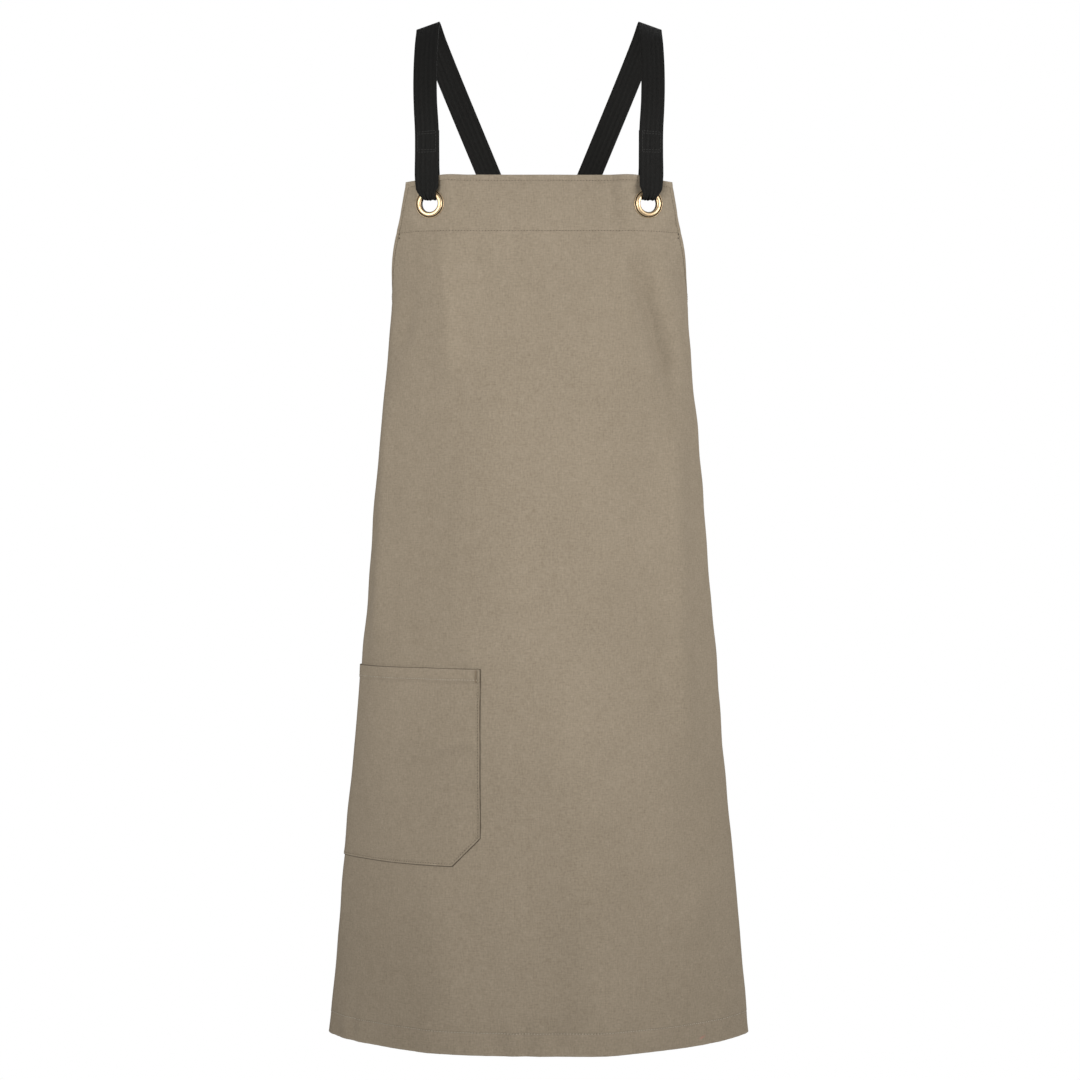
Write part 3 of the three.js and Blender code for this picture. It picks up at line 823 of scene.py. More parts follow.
    def build(self) -> bpy.types.Object:
        """Make every stitch with one array and put each in its place."""
        thing = to_object(self.name, self.one_stitch())
        points = np.concatenate(self.stitches)
        array = thing.modifiers.new("row", "ARRAY")
        array.count = len(points) // len(thing.data.vertices)
        array.relative_offset_displace = (1.5, 0.0, 0.0)
        graph = bpy.context.evaluated_depsgraph_get()
        mesh = bpy.data.meshes.new_from_object(thing.evaluated_get(graph))
        made = thing.data
        thing.modifiers.clear()
        thing.data = mesh
        mesh.name = self.name
        move_points(mesh, points)
        pattern = np.array([face.material_index for face in made.polygons])
        yarns = np.concatenate(self.yarns)[:, None]
        numbers = np.where(pattern[None, :] == Finish.HOLE.value, Finish.HOLE.value, yarns)
        mesh.polygons.foreach_set("material_index", numbers.astype(np.int32).ravel())
        turned = bmesh.new()
        turned.from_mesh(mesh)
        bmesh.ops.recalc_face_normals(turned, faces=list(turned.faces))
        turned.to_mesh(mesh)
        turned.free()
        return thing


@dataclass
class Panel:
    """The cloth panel with its turned edges and its rows of stitches.

    Attributes:
        hanging: How it hangs.
        step: Widest gap between grid lines.
        band: Width of the side bands, whose grid lines follow the edge.
        rounding: How far its edges are rounded.
        edge_step: From an edge to the grid line beside it.
        side_reach: From a side's row of stitches to the grid lines beside it.
        turned_step: Over what distance a turning's thickness starts.
        seam_step: Widest gap between the corners of a row that follows an armhole.
        topstitch: From the bib's top to the row below it.
        facing_stitch: From the bib's top to the facing's lower row.
        hem_stitch: From the bottom edge to the hem's row.
        side_stitch: From a side edge to its row.
        ridge: From the bib's top to the lower end of the band that stands out a little.
        ridge_height: How far that band stands out.
        ridge_fade: Over what distance it ends.
        ridge_start: Over what distance it starts below the top row.
        dip: How far a row of stitches sinks into the cloth.
        dip_width: How wide that dip is.
        dot_drops: Places of the two holes at the facing's ends, from the facing's edge down.
        dot_half: Half the length of such a hole.
        dot_width: Width of such a hole.
    """

    hanging: Hanging
    step: float = 0.0046
    band: float = 0.010
    rounding: float = 0.0005
    edge_step: float = 0.0016
    side_reach: float = 0.0009
    turned_step: float = 0.0006
    seam_step: float = 0.006
    topstitch: float = 0.006
    facing_stitch: float = 0.0585
    hem_stitch: float = 0.0238
    side_stitch: float = 0.0048
    ridge: float = 0.044
    ridge_height: float = 0.00012
    ridge_fade: float = 0.002
    ridge_start: float = 0.004
    dip: float = 0.00034
    dip_width: float = 0.0008
    dot_drops: tuple[float, float] = (-0.0002, 0.0038)
    dot_half: float = 0.0009
    dot_width: float = 0.0017

    def side_lines(self) -> list[float]:
        """Places in from the side edges where the grid has a line."""
        turned = self.hanging.cut.side_hem
        stitched = beside([self.side_stitch], self.side_reach)
        return [0.0, self.edge_step, *stitched, turned, turned + self.turned_step]

    def row_lines(self) -> list[float]:
        """Places down from the bib's top where the grid has a line."""
        cut = self.hanging.cut
        stitched = [self.topstitch, self.facing_stitch, cut.length - self.hem_stitch]
        turned = [cut.facing, cut.facing + self.turned_step, cut.length - cut.hem]
        turned.append(cut.length - cut.hem - self.turned_step)
        edges = [0.0, self.edge_step, cut.armhole_drop, cut.length - self.edge_step, cut.length]
        ridge = beside([self.ridge], self.ridge_fade / 2.0)
        return [*edges, *beside(stitched, self.dip_width), *turned, *ridge]

    def layout(self, bm: bmesh.types.BMesh) -> None:
        """Pull the grid's columns to the armholes, keeping the side bands' lines."""
        cut = self.hanging.cut
        for corner in bm.verts:
            column, down = corner.co.x, -corner.co.y
            band = self.band * cut.slant(down)
            inner = cut.edge(down) - band
            if abs(column) <= 1.0:
                corner.co.x = column * inner
            else:
                corner.co.x = math.copysign(inner + (abs(column) - 1.0) * band, column)

    def cut_holes(self, bm: bmesh.types.BMesh) -> None:
        """Open the holes for the eyelets, with round edges."""
        eyelet = self.hanging.eyelet
        for side in Side:
            centre = Vector((side.value * self.hanging.eyelet_across, -eyelet.drop, 0.0))
            inner = [f for f in bm.faces if (f.calc_center_median() - centre).length < eyelet.hole]
            bmesh.ops.delete(bm, geom=inner, context="FACES")
            near = [v for v in bm.verts if (v.co - centre).length < 2.0 * eyelet.hole]
            rim = [v for v in near if v.is_boundary]
            for corner in rim:
                corner.co = centre + (corner.co - centre).normalized() * eyelet.hole
            loose = [v for v in near if not v.is_boundary]
            for _ in range(4):
                bmesh.ops.smooth_vert(
                    bm, verts=loose, factor=0.5, use_axis_x=True, use_axis_y=True, use_axis_z=False
                )

    def form_turnings(self, mesh: bpy.types.Mesh) -> None:
        """Thicken the back at the turned edges and sink both faces along the stitches."""
        cut = self.hanging.cut
        flat = points_of(mesh)
        down = -flat[:, 1]
        inset = (cut.edge(down) - np.abs(flat[:, 0])) / cut.slant(down)
        inside = np.minimum.reduce([
            down - cut.facing,
            cut.length - cut.hem - down,
            inset - cut.side_hem,
        ])
        back = smooth(-flat[:, 2] / cut.cloth)
        doubled = 1.0 - np.clip(inside / self.turned_step, 0.0, 1.0)
        rows = (
            bell(down - self.topstitch, self.dip_width)
            + bell(down - self.facing_stitch, self.dip_width)
            + bell(cut.length - self.hem_stitch - down, self.dip_width)
            + bell(inset - self.side_stitch, self.dip_width)
        )
        raised = self.ridge_height * smooth(0.5 - (down - self.ridge) / self.ridge_fade)
        raised = raised * smooth((down - self.topstitch) / self.ridge_start)
        flat[:, 2] += (1.0 - back) * raised - back * doubled * cut.turning
        flat[:, 2] += self.dip * rows * (2.0 * back - 1.0)
        move_points(mesh, flat)

    def build(self) -> bpy.types.Object:
        """Sew the panel flat and hang it."""
        cut = self.hanging.cut
        inner = ruled([-1.0, 0.0, 1.0], self.step / (cut.half_width - self.band))
        outer = sorted(1.0 + (self.band - inset) / self.band for inset in self.side_lines())
        columns = np.concatenate([[-place for place in reversed(outer)], inner, outer])
        rows = -ruled(self.row_lines(), self.step)[::-1]
        sheet = Flat(columns, rows, cut.cloth, self.rounding)
        bm = sheet.grid()
        self.layout(bm)
        self.cut_holes(bm)
        hole = 2.0 * self.hanging.eyelet.hole
        spots = [Vector((s.value * self.hanging.eyelet_across, -self.hanging.eyelet.drop)) for s in Side]
        sheet.thicken(bm, lambda co: all((co.xy - spot).length > hole for spot in spots))
        thing = to_object("cloth_panel", bm)
        self.form_turnings(thing.data)
        map_cloth(thing, self.hanging.hang)
        return thing

    def along_edge(self, side: Side, inset: float, start: float, end: float) -> list[tuple[float, float]]:
        """A row that follows the side edge between two drops.

        Args:
            side: The panel's side.
            inset: How far in from the edge it runs.
            start: Drop of its upper end.
            end: Drop of its lower end.

        Returns:
            Corners of the row on the flat cloth.
        """
        cut = self.hanging.cut
        drops = ruled([start, min(cut.armhole_drop, end), end], self.seam_step)
        reach = cut.edge(drops) - inset * cut.slant(drops)
        return [(side.value * x, -down) for x, down in zip(reach, drops)]

    def sew(self, thread: Thread) -> None:
        """Sew the facing and the hems, in front and behind, with two holes at each end of the facing."""
        cut = self.hanging.cut
        hang = self.hanging.hang
        doubled = -cut.cloth - cut.turning
        for height in (0.0, doubled):
            top = cut.top_half_width - self.side_stitch
            thread.sew([(-top, -self.topstitch), (top, -self.topstitch)], height, hang)
            facing = float(cut.edge(self.facing_stitch)) - self.side_stitch
            thread.sew([(-facing, -self.facing_stitch), (facing, -self.facing_stitch)], height, hang)
            low = self.hem_stitch - cut.length
            hem = cut.half_width - self.side_stitch
            thread.sew([(-hem, low), (hem, low)], height, hang, Finish.LIGHT)
            for side in Side:
                path = self.along_edge(side, self.side_stitch, self.topstitch, cut.length - self.hem_stitch)
                thread.sew(path, height, hang)
        for side in Side:
            x = side.value * (float(cut.edge(cut.facing)) - cut.side_hem)
            for offset in self.dot_drops:
                drop = cut.facing + offset
                ends = (x, self.dot_half - drop), (x, -self.dot_half - drop)
                thread.tack(*ends, self.dot_width, 0.0, hang, Finish.HOLE)


@dataclass
class Pocket:
    """The patch pocket with its turned top and its rows of stitches.

    Attributes:
        hanging: How the panel under it hangs.
        width: Its width.
        height: Its height.
        drop: From the bib's top to its top.
        start: From the panel's centre line to its right edge.
        chamfer: What each lower corner's cut takes off a side.
        hem: Depth of its turned top.
        thickness: Thickness of its cloth.
        turning: What its turned top adds.
        gape: How far its mouth stands open.
        seat: Gap between it and the panel.
        step: Widest gap between grid lines.
        rounding: How far its edges are rounded.
        edge_step: From an edge to the grid line beside it.
        turned_step: Over what distance the turning's thickness starts.
        edge_stitch: From its edges to the row that holds it.
        hem_stitch: From its top to the hem's row.
        dip: How far a row of stitches sinks into the cloth.
        dip_width: How wide that dip is.
        ripple: Length of the small ripples beside its edges.
        ripple_height: Height of those ripples.
        ripple_reach: How far in from the edges they reach.
        tack_inset: From the row that holds it to a bar tack.
        tack_span: From its top to both ends of a bar tack.
        tack_width: Width of a bar tack.
    """

    hanging: Hanging
    width: float = 0.254
    height: float = 0.207
    drop: float = 0.515
    start: float = 0.062
    chamfer: float = 0.030
    hem: float = 0.0135
    thickness: float = 0.0009
    turning: float = 0.0005
    gape: float = 0.0007
    seat: float = 0.0002
    step: float = 0.0032
    rounding: float = 0.00036
    edge_step: float = 0.0012
    turned_step: float = 0.0006
    edge_stitch: float = 0.0026
    hem_stitch: float = 0.0118
    dip: float = 0.00034
    dip_width: float = 0.0008
    ripple: float = 0.021
    ripple_height: float = 0.0002
    ripple_reach: float = 0.010
    tack_inset: float = 0.0021
    tack_span: tuple[float, float] = (0.0015, 0.0145)
    tack_width: float = 0.0026

    @property
    def outline(self) -> tuple[tuple[float, float, float], ...]:
        """The sides, the cut corners and the bottom of the flat pocket, then its top."""
        slant = math.sqrt(0.5)
        low = (self.height - self.chamfer) * slant
        return (
            (1.0, 0.0, 0.0),
            (-1.0, 0.0, self.width),
            (slant, slant, low),
            (-slant, slant, low + self.width * slant),
            (0.0, 1.0, self.height),
            (0.0, -1.0, 0.0),
        )

    def inset(self, x: Array, y: Array) -> Array:
        """How far in from the sides, the bottom and the cut corners each flat place lies."""
        return np.minimum.reduce([a * x + b * y + c for a, b, c in self.outline[:-1]])

    def hang(self, flat: Array) -> Array:
        """Hang flat points: x from the pocket's left edge, y up from its top, z out of the panel."""
        across = -self.start - self.width + flat[:, 0]
        down = self.drop - flat[:, 1]
        share = np.clip(flat[:, 0] / self.width, 0.0, 1.0)
        upper = 1.0 - smooth(-flat[:, 1] / (self.height / 2.0))
        open_by = self.gape * np.sin(math.pi * share) ** 2 * upper
        out = self.seat + open_by + self.thickness + flat[:, 2]
        return self.hanging.hang(np.stack([across, -down, out], axis=-1))

    def form(self, mesh: bpy.types.Mesh) -> None:
        """Thicken the turned top outwards and sink the front along the stitches."""
        flat = points_of(mesh)
        x, y = flat[:, 0], flat[:, 1]
        front = 1.0 - smooth(-flat[:, 2] / self.thickness)
        turned = 1.0 - np.clip((-y - self.hem) / self.turned_step, 0.0, 1.0)
        inset = self.inset(x, y)
        rows = bell(inset - self.edge_stitch, self.dip_width)
        rows += bell(-y - self.hem_stitch, self.dip_width)
        flat[:, 2] += front * (turned * self.turning - self.dip * rows)
        ripples = np.sin(math.tau * y / self.ripple) * bell(inset, self.ripple_reach)
        flat[:, 2] += front * self.ripple_height * ripples
        move_points(mesh, flat)

    def build(self) -> bpy.types.Object:
        """Sew the pocket flat and put it on the panel."""
        stitched = beside([self.edge_stitch], self.dip_width)
        sides = [0.0, self.edge_step, *stitched]
        columns = ruled([*sides, *(self.width - place for place in sides)], self.step)
        lines = [0.0, self.edge_step, *beside([self.hem_stitch], self.dip_width), self.hem]
        lines += [self.hem + self.turned_step, *(self.height - place for place in sides)]
        rows = -ruled(lines, self.step)[::-1]
        sheet = Flat(columns, rows, self.thickness, self.rounding)
        bm = sheet.grid()
        for turn, x in ((-1.0, self.chamfer), (1.0, self.width - self.chamfer)):
            normal = Vector((turn, -1.0, 0.0)).normalized()
            corner = Vector((x, -self.height, 0.0))
            for inset in stitched:
                everything = [*bm.verts, *bm.edges, *bm.faces]
                bmesh.ops.bisect_plane(
                    bm, geom=everything, dist=1e-6, plane_co=corner - normal * inset, plane_no=normal
                )
            everything = [*bm.verts, *bm.edges, *bm.faces]
            bmesh.ops.bisect_plane(
                bm, geom=everything, dist=1e-6, plane_co=corner, plane_no=normal, clear_outer=True
            )
        sheet.thicken(bm, lambda co: True)
        thing = to_object("patch_pocket", bm)
        self.form(thing.data)
        map_cloth(thing, self.hang)
        return thing

    def row(self, inset: float) -> list[tuple[float, float]]:
        """The way down one side, along the bottom and up the other, at an inset."""
        cut = self.chamfer + inset * (math.sqrt(2.0) - 1.0)
        low = inset - self.height
        return [
            (inset, 0.0),
            (inset, cut - self.height),
            (cut, low),
            (self.width - cut, low),
            (self.width - inset, cut - self.height),
            (self.width - inset, 0.0),
        ]

    def sew(self, thread: Thread) -> None:
        """Sew the pocket on, hem its top and tack its top corners."""
        thread.sew(self.row(self.edge_stitch), 0.0, self.hang)
        hem = [(self.edge_stitch, -self.hem_stitch), (self.width - self.edge_stitch, -self.hem_stitch)]
        thread.sew(hem, self.turning, self.hang, Finish.LIGHT)
        inset = self.edge_stitch + self.tack_inset
        upper, lower = self.tack_span
        for x in (inset, self.width - inset):
            thread.tack((x, -upper), (x, -lower), self.tack_width, self.turning, self.hang)


@dataclass(frozen=True)
class Station:
    """A place of a strap's middle line.

    Attributes:
        point: Where it is.
        across: The strap's direction across there.
        gather: How far it is gathered, from 0 to 1.
    """

    point: Array
    across: Array
    gather: float = 0.0


@dataclass
class Strap:
    """A webbing strap from its sewn tail through its eyelet to the other side of the back.

    Attributes:
        hanging: How the panel that it holds hangs.
        side: The side that its eyelet is on.
        width: The webbing's width.
        thickness: The webbing's thickness.
        gather_height: Room that the gathers take on each face.
        bundle_half_width: Half the width of the gathered bundle.
        bundle_bottom: How far over the bore's middle the bundle starts.
        pleat_height: Height of the bundle's pleats.
        pleats: How many pleats it has.
        tail: From the bib's top up to the tail's end.
        stitch_rise: From the bib's top up to the seam's lower end.
        outward: How far the front run leans outwards at the bib's top.
        bow: How far the front run bows outwards.
        yaw: How far the front run's face is turned outwards.
        crest_half_spread: Half the distance between the two crests.
        shoulder_slope: Slope of the shoulders.
        back_depth: How far behind the origin the back is.
        end_overlap: Length of the lap on the panel.
        end_inset: From the panel's side edge in to the lap's end.
        end_drop: From the armhole's end down to the lap's end.
        lean: Lean of the strap on the back.
        seat: Gap between the strap and what it lies on.
        lay: Gap between its two layers where they are sewn together.
        crossing_reach: How far from the crossing it is lifted, as a share of its back.
        crossing_fade: Over what share of its back that lift fades out.
        step: Widest gap between grid lines.
        fine_step: Widest gap between them in the eyelet.
        edge_step: From an end to the grid line beside it.
        rounding: How far its edges are rounded.
        curl_bend: Degrees and gathers of its stations round the eyelet's curled end.
        dome_bend: Degrees and gathers of its stations round the dome.
        leaving_gather: Its gather where it leaves the dome.
        dome_turn: How far out on the dome it bends, as a share of the dome's width.
        front_run: Its stations before the crest, as shares of the rise and of the setback.
        back_run: Its stations behind the crest, as shares of the way and of the back's depth.
        seam_inset: From its edges to the rows of stitches.
        seam_clear: From the seam's lower and upper end to its first and last row.
        second_row: From the seam's end rows to the rows beside them.
        box_clear: From the lap's start and end to its box of stitches.
    """

    hanging: Hanging
    side: Side
    width: float = 0.026
    thickness: float = 0.0015
    gather_height: float = 0.0007
    bundle_half_width: float = 0.0068
    bundle_bottom: float = 0.0040
    pleat_height: float = 0.0006
    pleats: int = 5
    tail: float = 0.046
    stitch_rise: float = 0.023
    outward: float = 0.0030
    bow: float = 0.0020
    yaw: float = 0.33
    crest_half_spread: float = 0.119
    shoulder_slope: float = math.radians(20.0)
    back_depth: float = 0.102
    end_overlap: float = 0.060
    end_inset: float = 0.038
    end_drop: float = 0.075
    lean: float = math.radians(22.5)
    seat: float = 0.0004
    lay: float = 0.0003
    crossing_reach: float = 0.25
    crossing_fade: float = 1.0 / 6.0
    step: float = 0.0034
    fine_step: float = 0.0009
    edge_step: float = 0.0012
    rounding: float = 0.0004
    curl_bend: tuple[tuple[float, float], ...] = ((-25, 0.75), (15, 0.9), (55, 1.0), (90, 1.0))
    dome_bend: tuple[tuple[float, float], ...] = ((90, 1.0), (60, 0.9), (30, 0.74), (0, 0.56))
    leaving_gather: float = 0.12
    dome_turn: float = 0.42
    front_run: tuple[tuple[float, float], ...] = (
        (0.44, 0.86), (0.64, 0.66), (0.82, 0.43), (0.95, 0.18),
    )
    back_run: tuple[tuple[float, float], ...] = (
        (0.03, 0.3), (0.105, 0.56), (0.33, 0.84), (0.5, 0.97), (0.6, 1.0), (0.7, 0.99), (0.82, 0.95),
    )
    seam_inset: float = 0.0032
    seam_clear: tuple[float, float] = (0.0006, 0.001)
    second_row: float = 0.0024
    box_clear: tuple[float, float] = (0.018, 0.004)

    def __post_init__(self) -> None:
        """Work out the strap's middle line and its directions once."""
        stations = self.stations()
        parts = 40
        at = np.arange((len(stations) - 1) * parts + 1) / parts
        self.middle = centripetal(np.array([spot.point for spot in stations]), at)
        steps = np.linalg.norm(np.diff(self.middle, axis=0), axis=1)
        self.places = np.concatenate([[0.0], np.cumsum(steps)])
        self.length = self.places[-1]
        number = np.arange(len(stations), dtype=float)
        aims = np.array([spot.across for spot in stations])
        across = np.stack([np.interp(at, number, aims[:, i]) for i in range(3)], axis=-1)
        tangent = unit(np.gradient(self.middle, self.places, axis=0))
        self.out = unit(np.cross(unit(across), tangent))
        self.wide = unit(np.cross(tangent, self.out))
        self.gather = np.interp(at, number, [spot.gather for spot in stations])
        self.marks = {name: self.places[index * parts] for name, index in self.named.items()}

    @property
    def half(self) -> float:
        """Half the webbing's thickness."""
        return self.thickness / 2.0

    @property
    def standoff(self) -> float:
        """How far the gathered strap's middle stays off the eyelet."""
        return self.half + self.gather_height + self.hanging.eyelet.gap

    def sewn_part(self) -> list[Station]:
        """The stretch from the tail's end, behind the bib and through the eyelet, to the seam."""
        eyelet = self.hanging.eyelet
        centre, right, up, normal = self.hanging.eyelet_frame(self.side)
        clamped = self.hanging.cut.cloth + self.hanging.cut.turning

        def spot(out: float, rise: float, gather: float = 0.0) -> Station:
            """A station at a place in the eyelet's frame."""
            lean = self.side.value * self.outward * smooth(rise / eyelet.drop)
            return Station(centre + lean * right + out * normal + rise * up, right, gather)

        def bent(bend: tuple, out: float, rise: float, reach_out: float, reach_up: float) -> list[Station]:
            """Stations round one bend in the eyelet."""
            angles = [(math.radians(degrees), gather) for degrees, gather in bend]
            return [
                spot(out + reach_out * math.cos(a), rise - reach_up * math.sin(a), gather)
                for a, gather in angles
            ]

        layer = self.half + self.lay / 2.0
        middle = -clamped / 2.0
        curl_up = eyelet.bore + eyelet.curl_width / 2.0
        dome_up = eyelet.bore + eyelet.dome_width * self.dome_turn
        curl_out = -(eyelet.curl_height + self.standoff)
        dome_out = eyelet.dome_height + self.standoff
        behind = -clamped - self.seat - self.half
        return [
            spot(middle - layer, eyelet.drop + self.tail),
            spot(middle - layer, eyelet.drop + self.stitch_rise),
            spot(behind, eyelet.drop),
            *bent(
                self.curl_bend,
                eyelet.curl_front(clamped),
                curl_up,
                curl_out,
                eyelet.curl_width / 2.0 + self.standoff,
            ),
            *bent(
                self.dome_bend,
                eyelet.gap,
                dome_up,
                dome_out,
                dome_up - eyelet.bore + self.standoff,
            ),
            spot(
                eyelet.dome_height + self.thickness,
                dome_up + eyelet.dome_width,
                self.leaving_gather,
            ),
            spot(self.seat + self.half, eyelet.drop),
            spot(middle + layer, eyelet.drop + self.stitch_rise),
            spot(middle + layer, eyelet.drop + self.tail),
        ]

    def end_part(self) -> list[Station]:
        """The sewn lap on the opposite back corner of the panel."""
        cut = self.hanging.cut
        outward = -self.side.value
        found = []
        for back in (self.end_overlap, self.end_overlap / 2.0, 0.0):
            across = outward * (cut.half_width - self.end_inset + back * math.sin(self.lean))
            down = cut.armhole_drop + self.end_drop - back * math.cos(self.lean)
            point, _, _, normal = frames(self.hanging.surface, np.array([across]), np.array([down]))
            found.append((point[0] + normal[0] * (self.seat + self.half), normal[0]))
        way = unit(found[-1][0] - found[0][0])
        return [Station(point, unit(np.cross(way, normal))) for point, normal in found]

    def stations(self) -> list[Station]:
        """Every station of the strap, from its tail to its end."""
        sewn = self.sewn_part()
        ends = self.end_part()
        slope = self.shoulder_slope
        sloped = np.array([math.cos(slope), 0.0, -self.side.value * math.sin(slope)])
        crest = np.array([self.side.value * self.crest_half_spread, 0.0, self.half])
        top = sewn[-1].point
        front = []
        for rise, ahead in self.front_run:
            z = mix(self.hanging.top, crest[2], rise)
            share = (z - top[2]) / (crest[2] - top[2])
            x = mix(top[0], crest[0], share) + self.side.value * self.bow * math.sin(math.pi * share)
            across = mix(sewn[-1].across, np.array([1.0, 0.0, 0.0]), smooth(share * 2.0))
            across = unit(mix(across, sloped, share**2))
            turned = self.side.value * self.yaw * math.sin(math.pi * share)
            across = unit(across + np.array([0.0, turned, 0.0]))
            front.append(Station(np.array([x, -ahead * self.hanging.setback, z]), across))
        landing = ends[0].point
        crossing = crest[0] / (crest[0] - landing[0])
        back = []
        for drop, behind in self.back_run:
            x, z = mix(crest[0], landing[0], drop), mix(crest[2], landing[2], drop)
            lifted = smooth((self.crossing_reach - abs(drop - crossing)) / self.crossing_fade)
            over = self.side.value * (self.half + self.seat) * lifted
            back.append(Station(np.array([x, behind * self.back_depth + over, z]), sloped))
        line = [*sewn, *front, Station(crest, sloped), *back, *ends]
        self.named = {
            "tail end": 0,
            "tail seam": 1,
            "behind": 2,
            "front edge": len(sewn) - 3,
            "front seam": len(sewn) - 2,
            "front seam top": len(sewn) - 1,
            "crest": len(sewn) + len(front),
            "lap": len(line) - len(ends),
            "lap end": len(line) - 1,
        }
        return line

    def sweep(self, flat: Array) -> Array:
        """Lay flat points along the strap: x across, y along from the tail, z out of its face."""
        along = np.clip(flat[:, 1], 0.0, self.length)

        def at(values: Array) -> Array:
            """Values of the strap's line at the places along it."""
            if values.ndim == 1:
                return np.interp(along, self.places, values)
            return np.stack([np.interp(along, self.places, values[:, i]) for i in range(3)], axis=-1)

        gather = at(self.gather)
        eyelet = self.hanging.eyelet
        share = flat[:, 0] / (self.width / 2.0)
        bundled = share * self.bundle_half_width
        aside = mix(flat[:, 0], bundled, gather)
        arc = np.sqrt((eyelet.bore - eyelet.gap) ** 2 - bundled**2)
        middle = (arc + self.bundle_bottom) / 2.0
        uneven = np.cos(math.pi * self.pleats * share) + 0.6 * np.sin(math.pi * 3.3 * share + 0.8)
        pleat = self.pleat_height * uneven
        crease = 0.55 * self.gather_height * np.sin(math.pi * 1.5 * share + 0.7)
        spread = smooth(gather * 2.5) * (1.0 - smooth(gather * 1.4)) * crease
        cupped = gather * (eyelet.bore - self.standoff - middle + pleat) + spread
        swollen = mix(1.0, (arc - self.bundle_bottom) / self.thickness, gather)
        tip = at(self.middle) + aside[:, None] * unit(at(self.wide))
        return tip + (cupped + flat[:, 2] * swollen)[:, None] * unit(at(self.out))

    def build(self) -> bpy.types.Object:
        """Cut the webbing flat and lay it along its line."""
        columns = ruled([-self.width / 2.0, 0.0, self.width / 2.0], self.width / (8.0 * self.pleats))
        lines = {0.0, self.edge_step, *self.marks.values(), self.length - self.edge_step}
        curled = ruled([self.marks["behind"], self.marks["front edge"]], self.fine_step)
        rows = np.union1d(ruled(lines, self.step), curled)
        rows = rows[np.concatenate([[True], np.diff(rows) > 1e-4])]
        rows[-1] = self.length
        sheet = Flat(columns, rows, self.thickness, self.rounding)
        bm = sheet.grid()
        sheet.thicken(bm, lambda co: True)
        bmesh.ops.translate(bm, verts=list(bm.verts), vec=(0.0, 0.0, self.half))
        thing = to_object(f"webbing_strap_{self.side.word}", bm)
        map_cloth(thing, self.sweep)
        return thing

    def box(self, low: float, high: float, half_width: float, rise: float, thread: Thread) -> None:
        """Sew a box with a cross.

        Args:
            low: Where it starts along the strap.
            high: Where it ends.
            half_width: Half its width.
            rise: Height of the face that it lies on.
            thread: Takes the stitches.
        """
        corners = [(-half_width, low), (half_width, low), (half_width, high), (-half_width, high)]
        thread.sew([*corners, corners[0]], rise, self.sweep)
        thread.sew([corners[0], corners[2]], rise, self.sweep)
        thread.sew([corners[1], corners[3]], rise, self.sweep)

    def sew(self, thread: Thread) -> None:
        """Sew the tail to the strap above the bib, and the lap to the panel."""
        half_width = self.width / 2.0 - self.seam_inset
        lower, upper = self.seam_clear
        low, high = self.marks["front seam"] + lower, self.marks["front seam top"] - upper
        for path in self.tail_rows(low, high, half_width):
            thread.sew(path, self.half, self.sweep)
        low, high = self.marks["tail end"] + upper, self.marks["tail seam"] - lower
        for path in self.tail_rows(low, high, half_width):
            thread.sew(path, -self.half, self.sweep)
        start, end = self.box_clear
        self.box(self.marks["lap"] + start, self.length - end, half_width, self.half, thread)

    def tail_rows(self, low: float, high: float, half_width: float) -> list[list[tuple[float, float]]]:
        """Rows of the seam above the bib: a box, with the row at each end sewn twice.

        Args:
            low: Where it starts along the strap.
            high: Where it ends.
            half_width: Half its width.

        Returns:
            The corners of each row.
        """
        box = [(-half_width, low), (half_width, low), (half_width, high), (-half_width, high)]
        beside_low, beside_high = low + self.second_row, high - self.second_row
        return [
            [*box, box[0]],
            [(-half_width, beside_high), (half_width, beside_high)],
            [(-half_width, beside_low), (half_width, beside_low)],
        ]


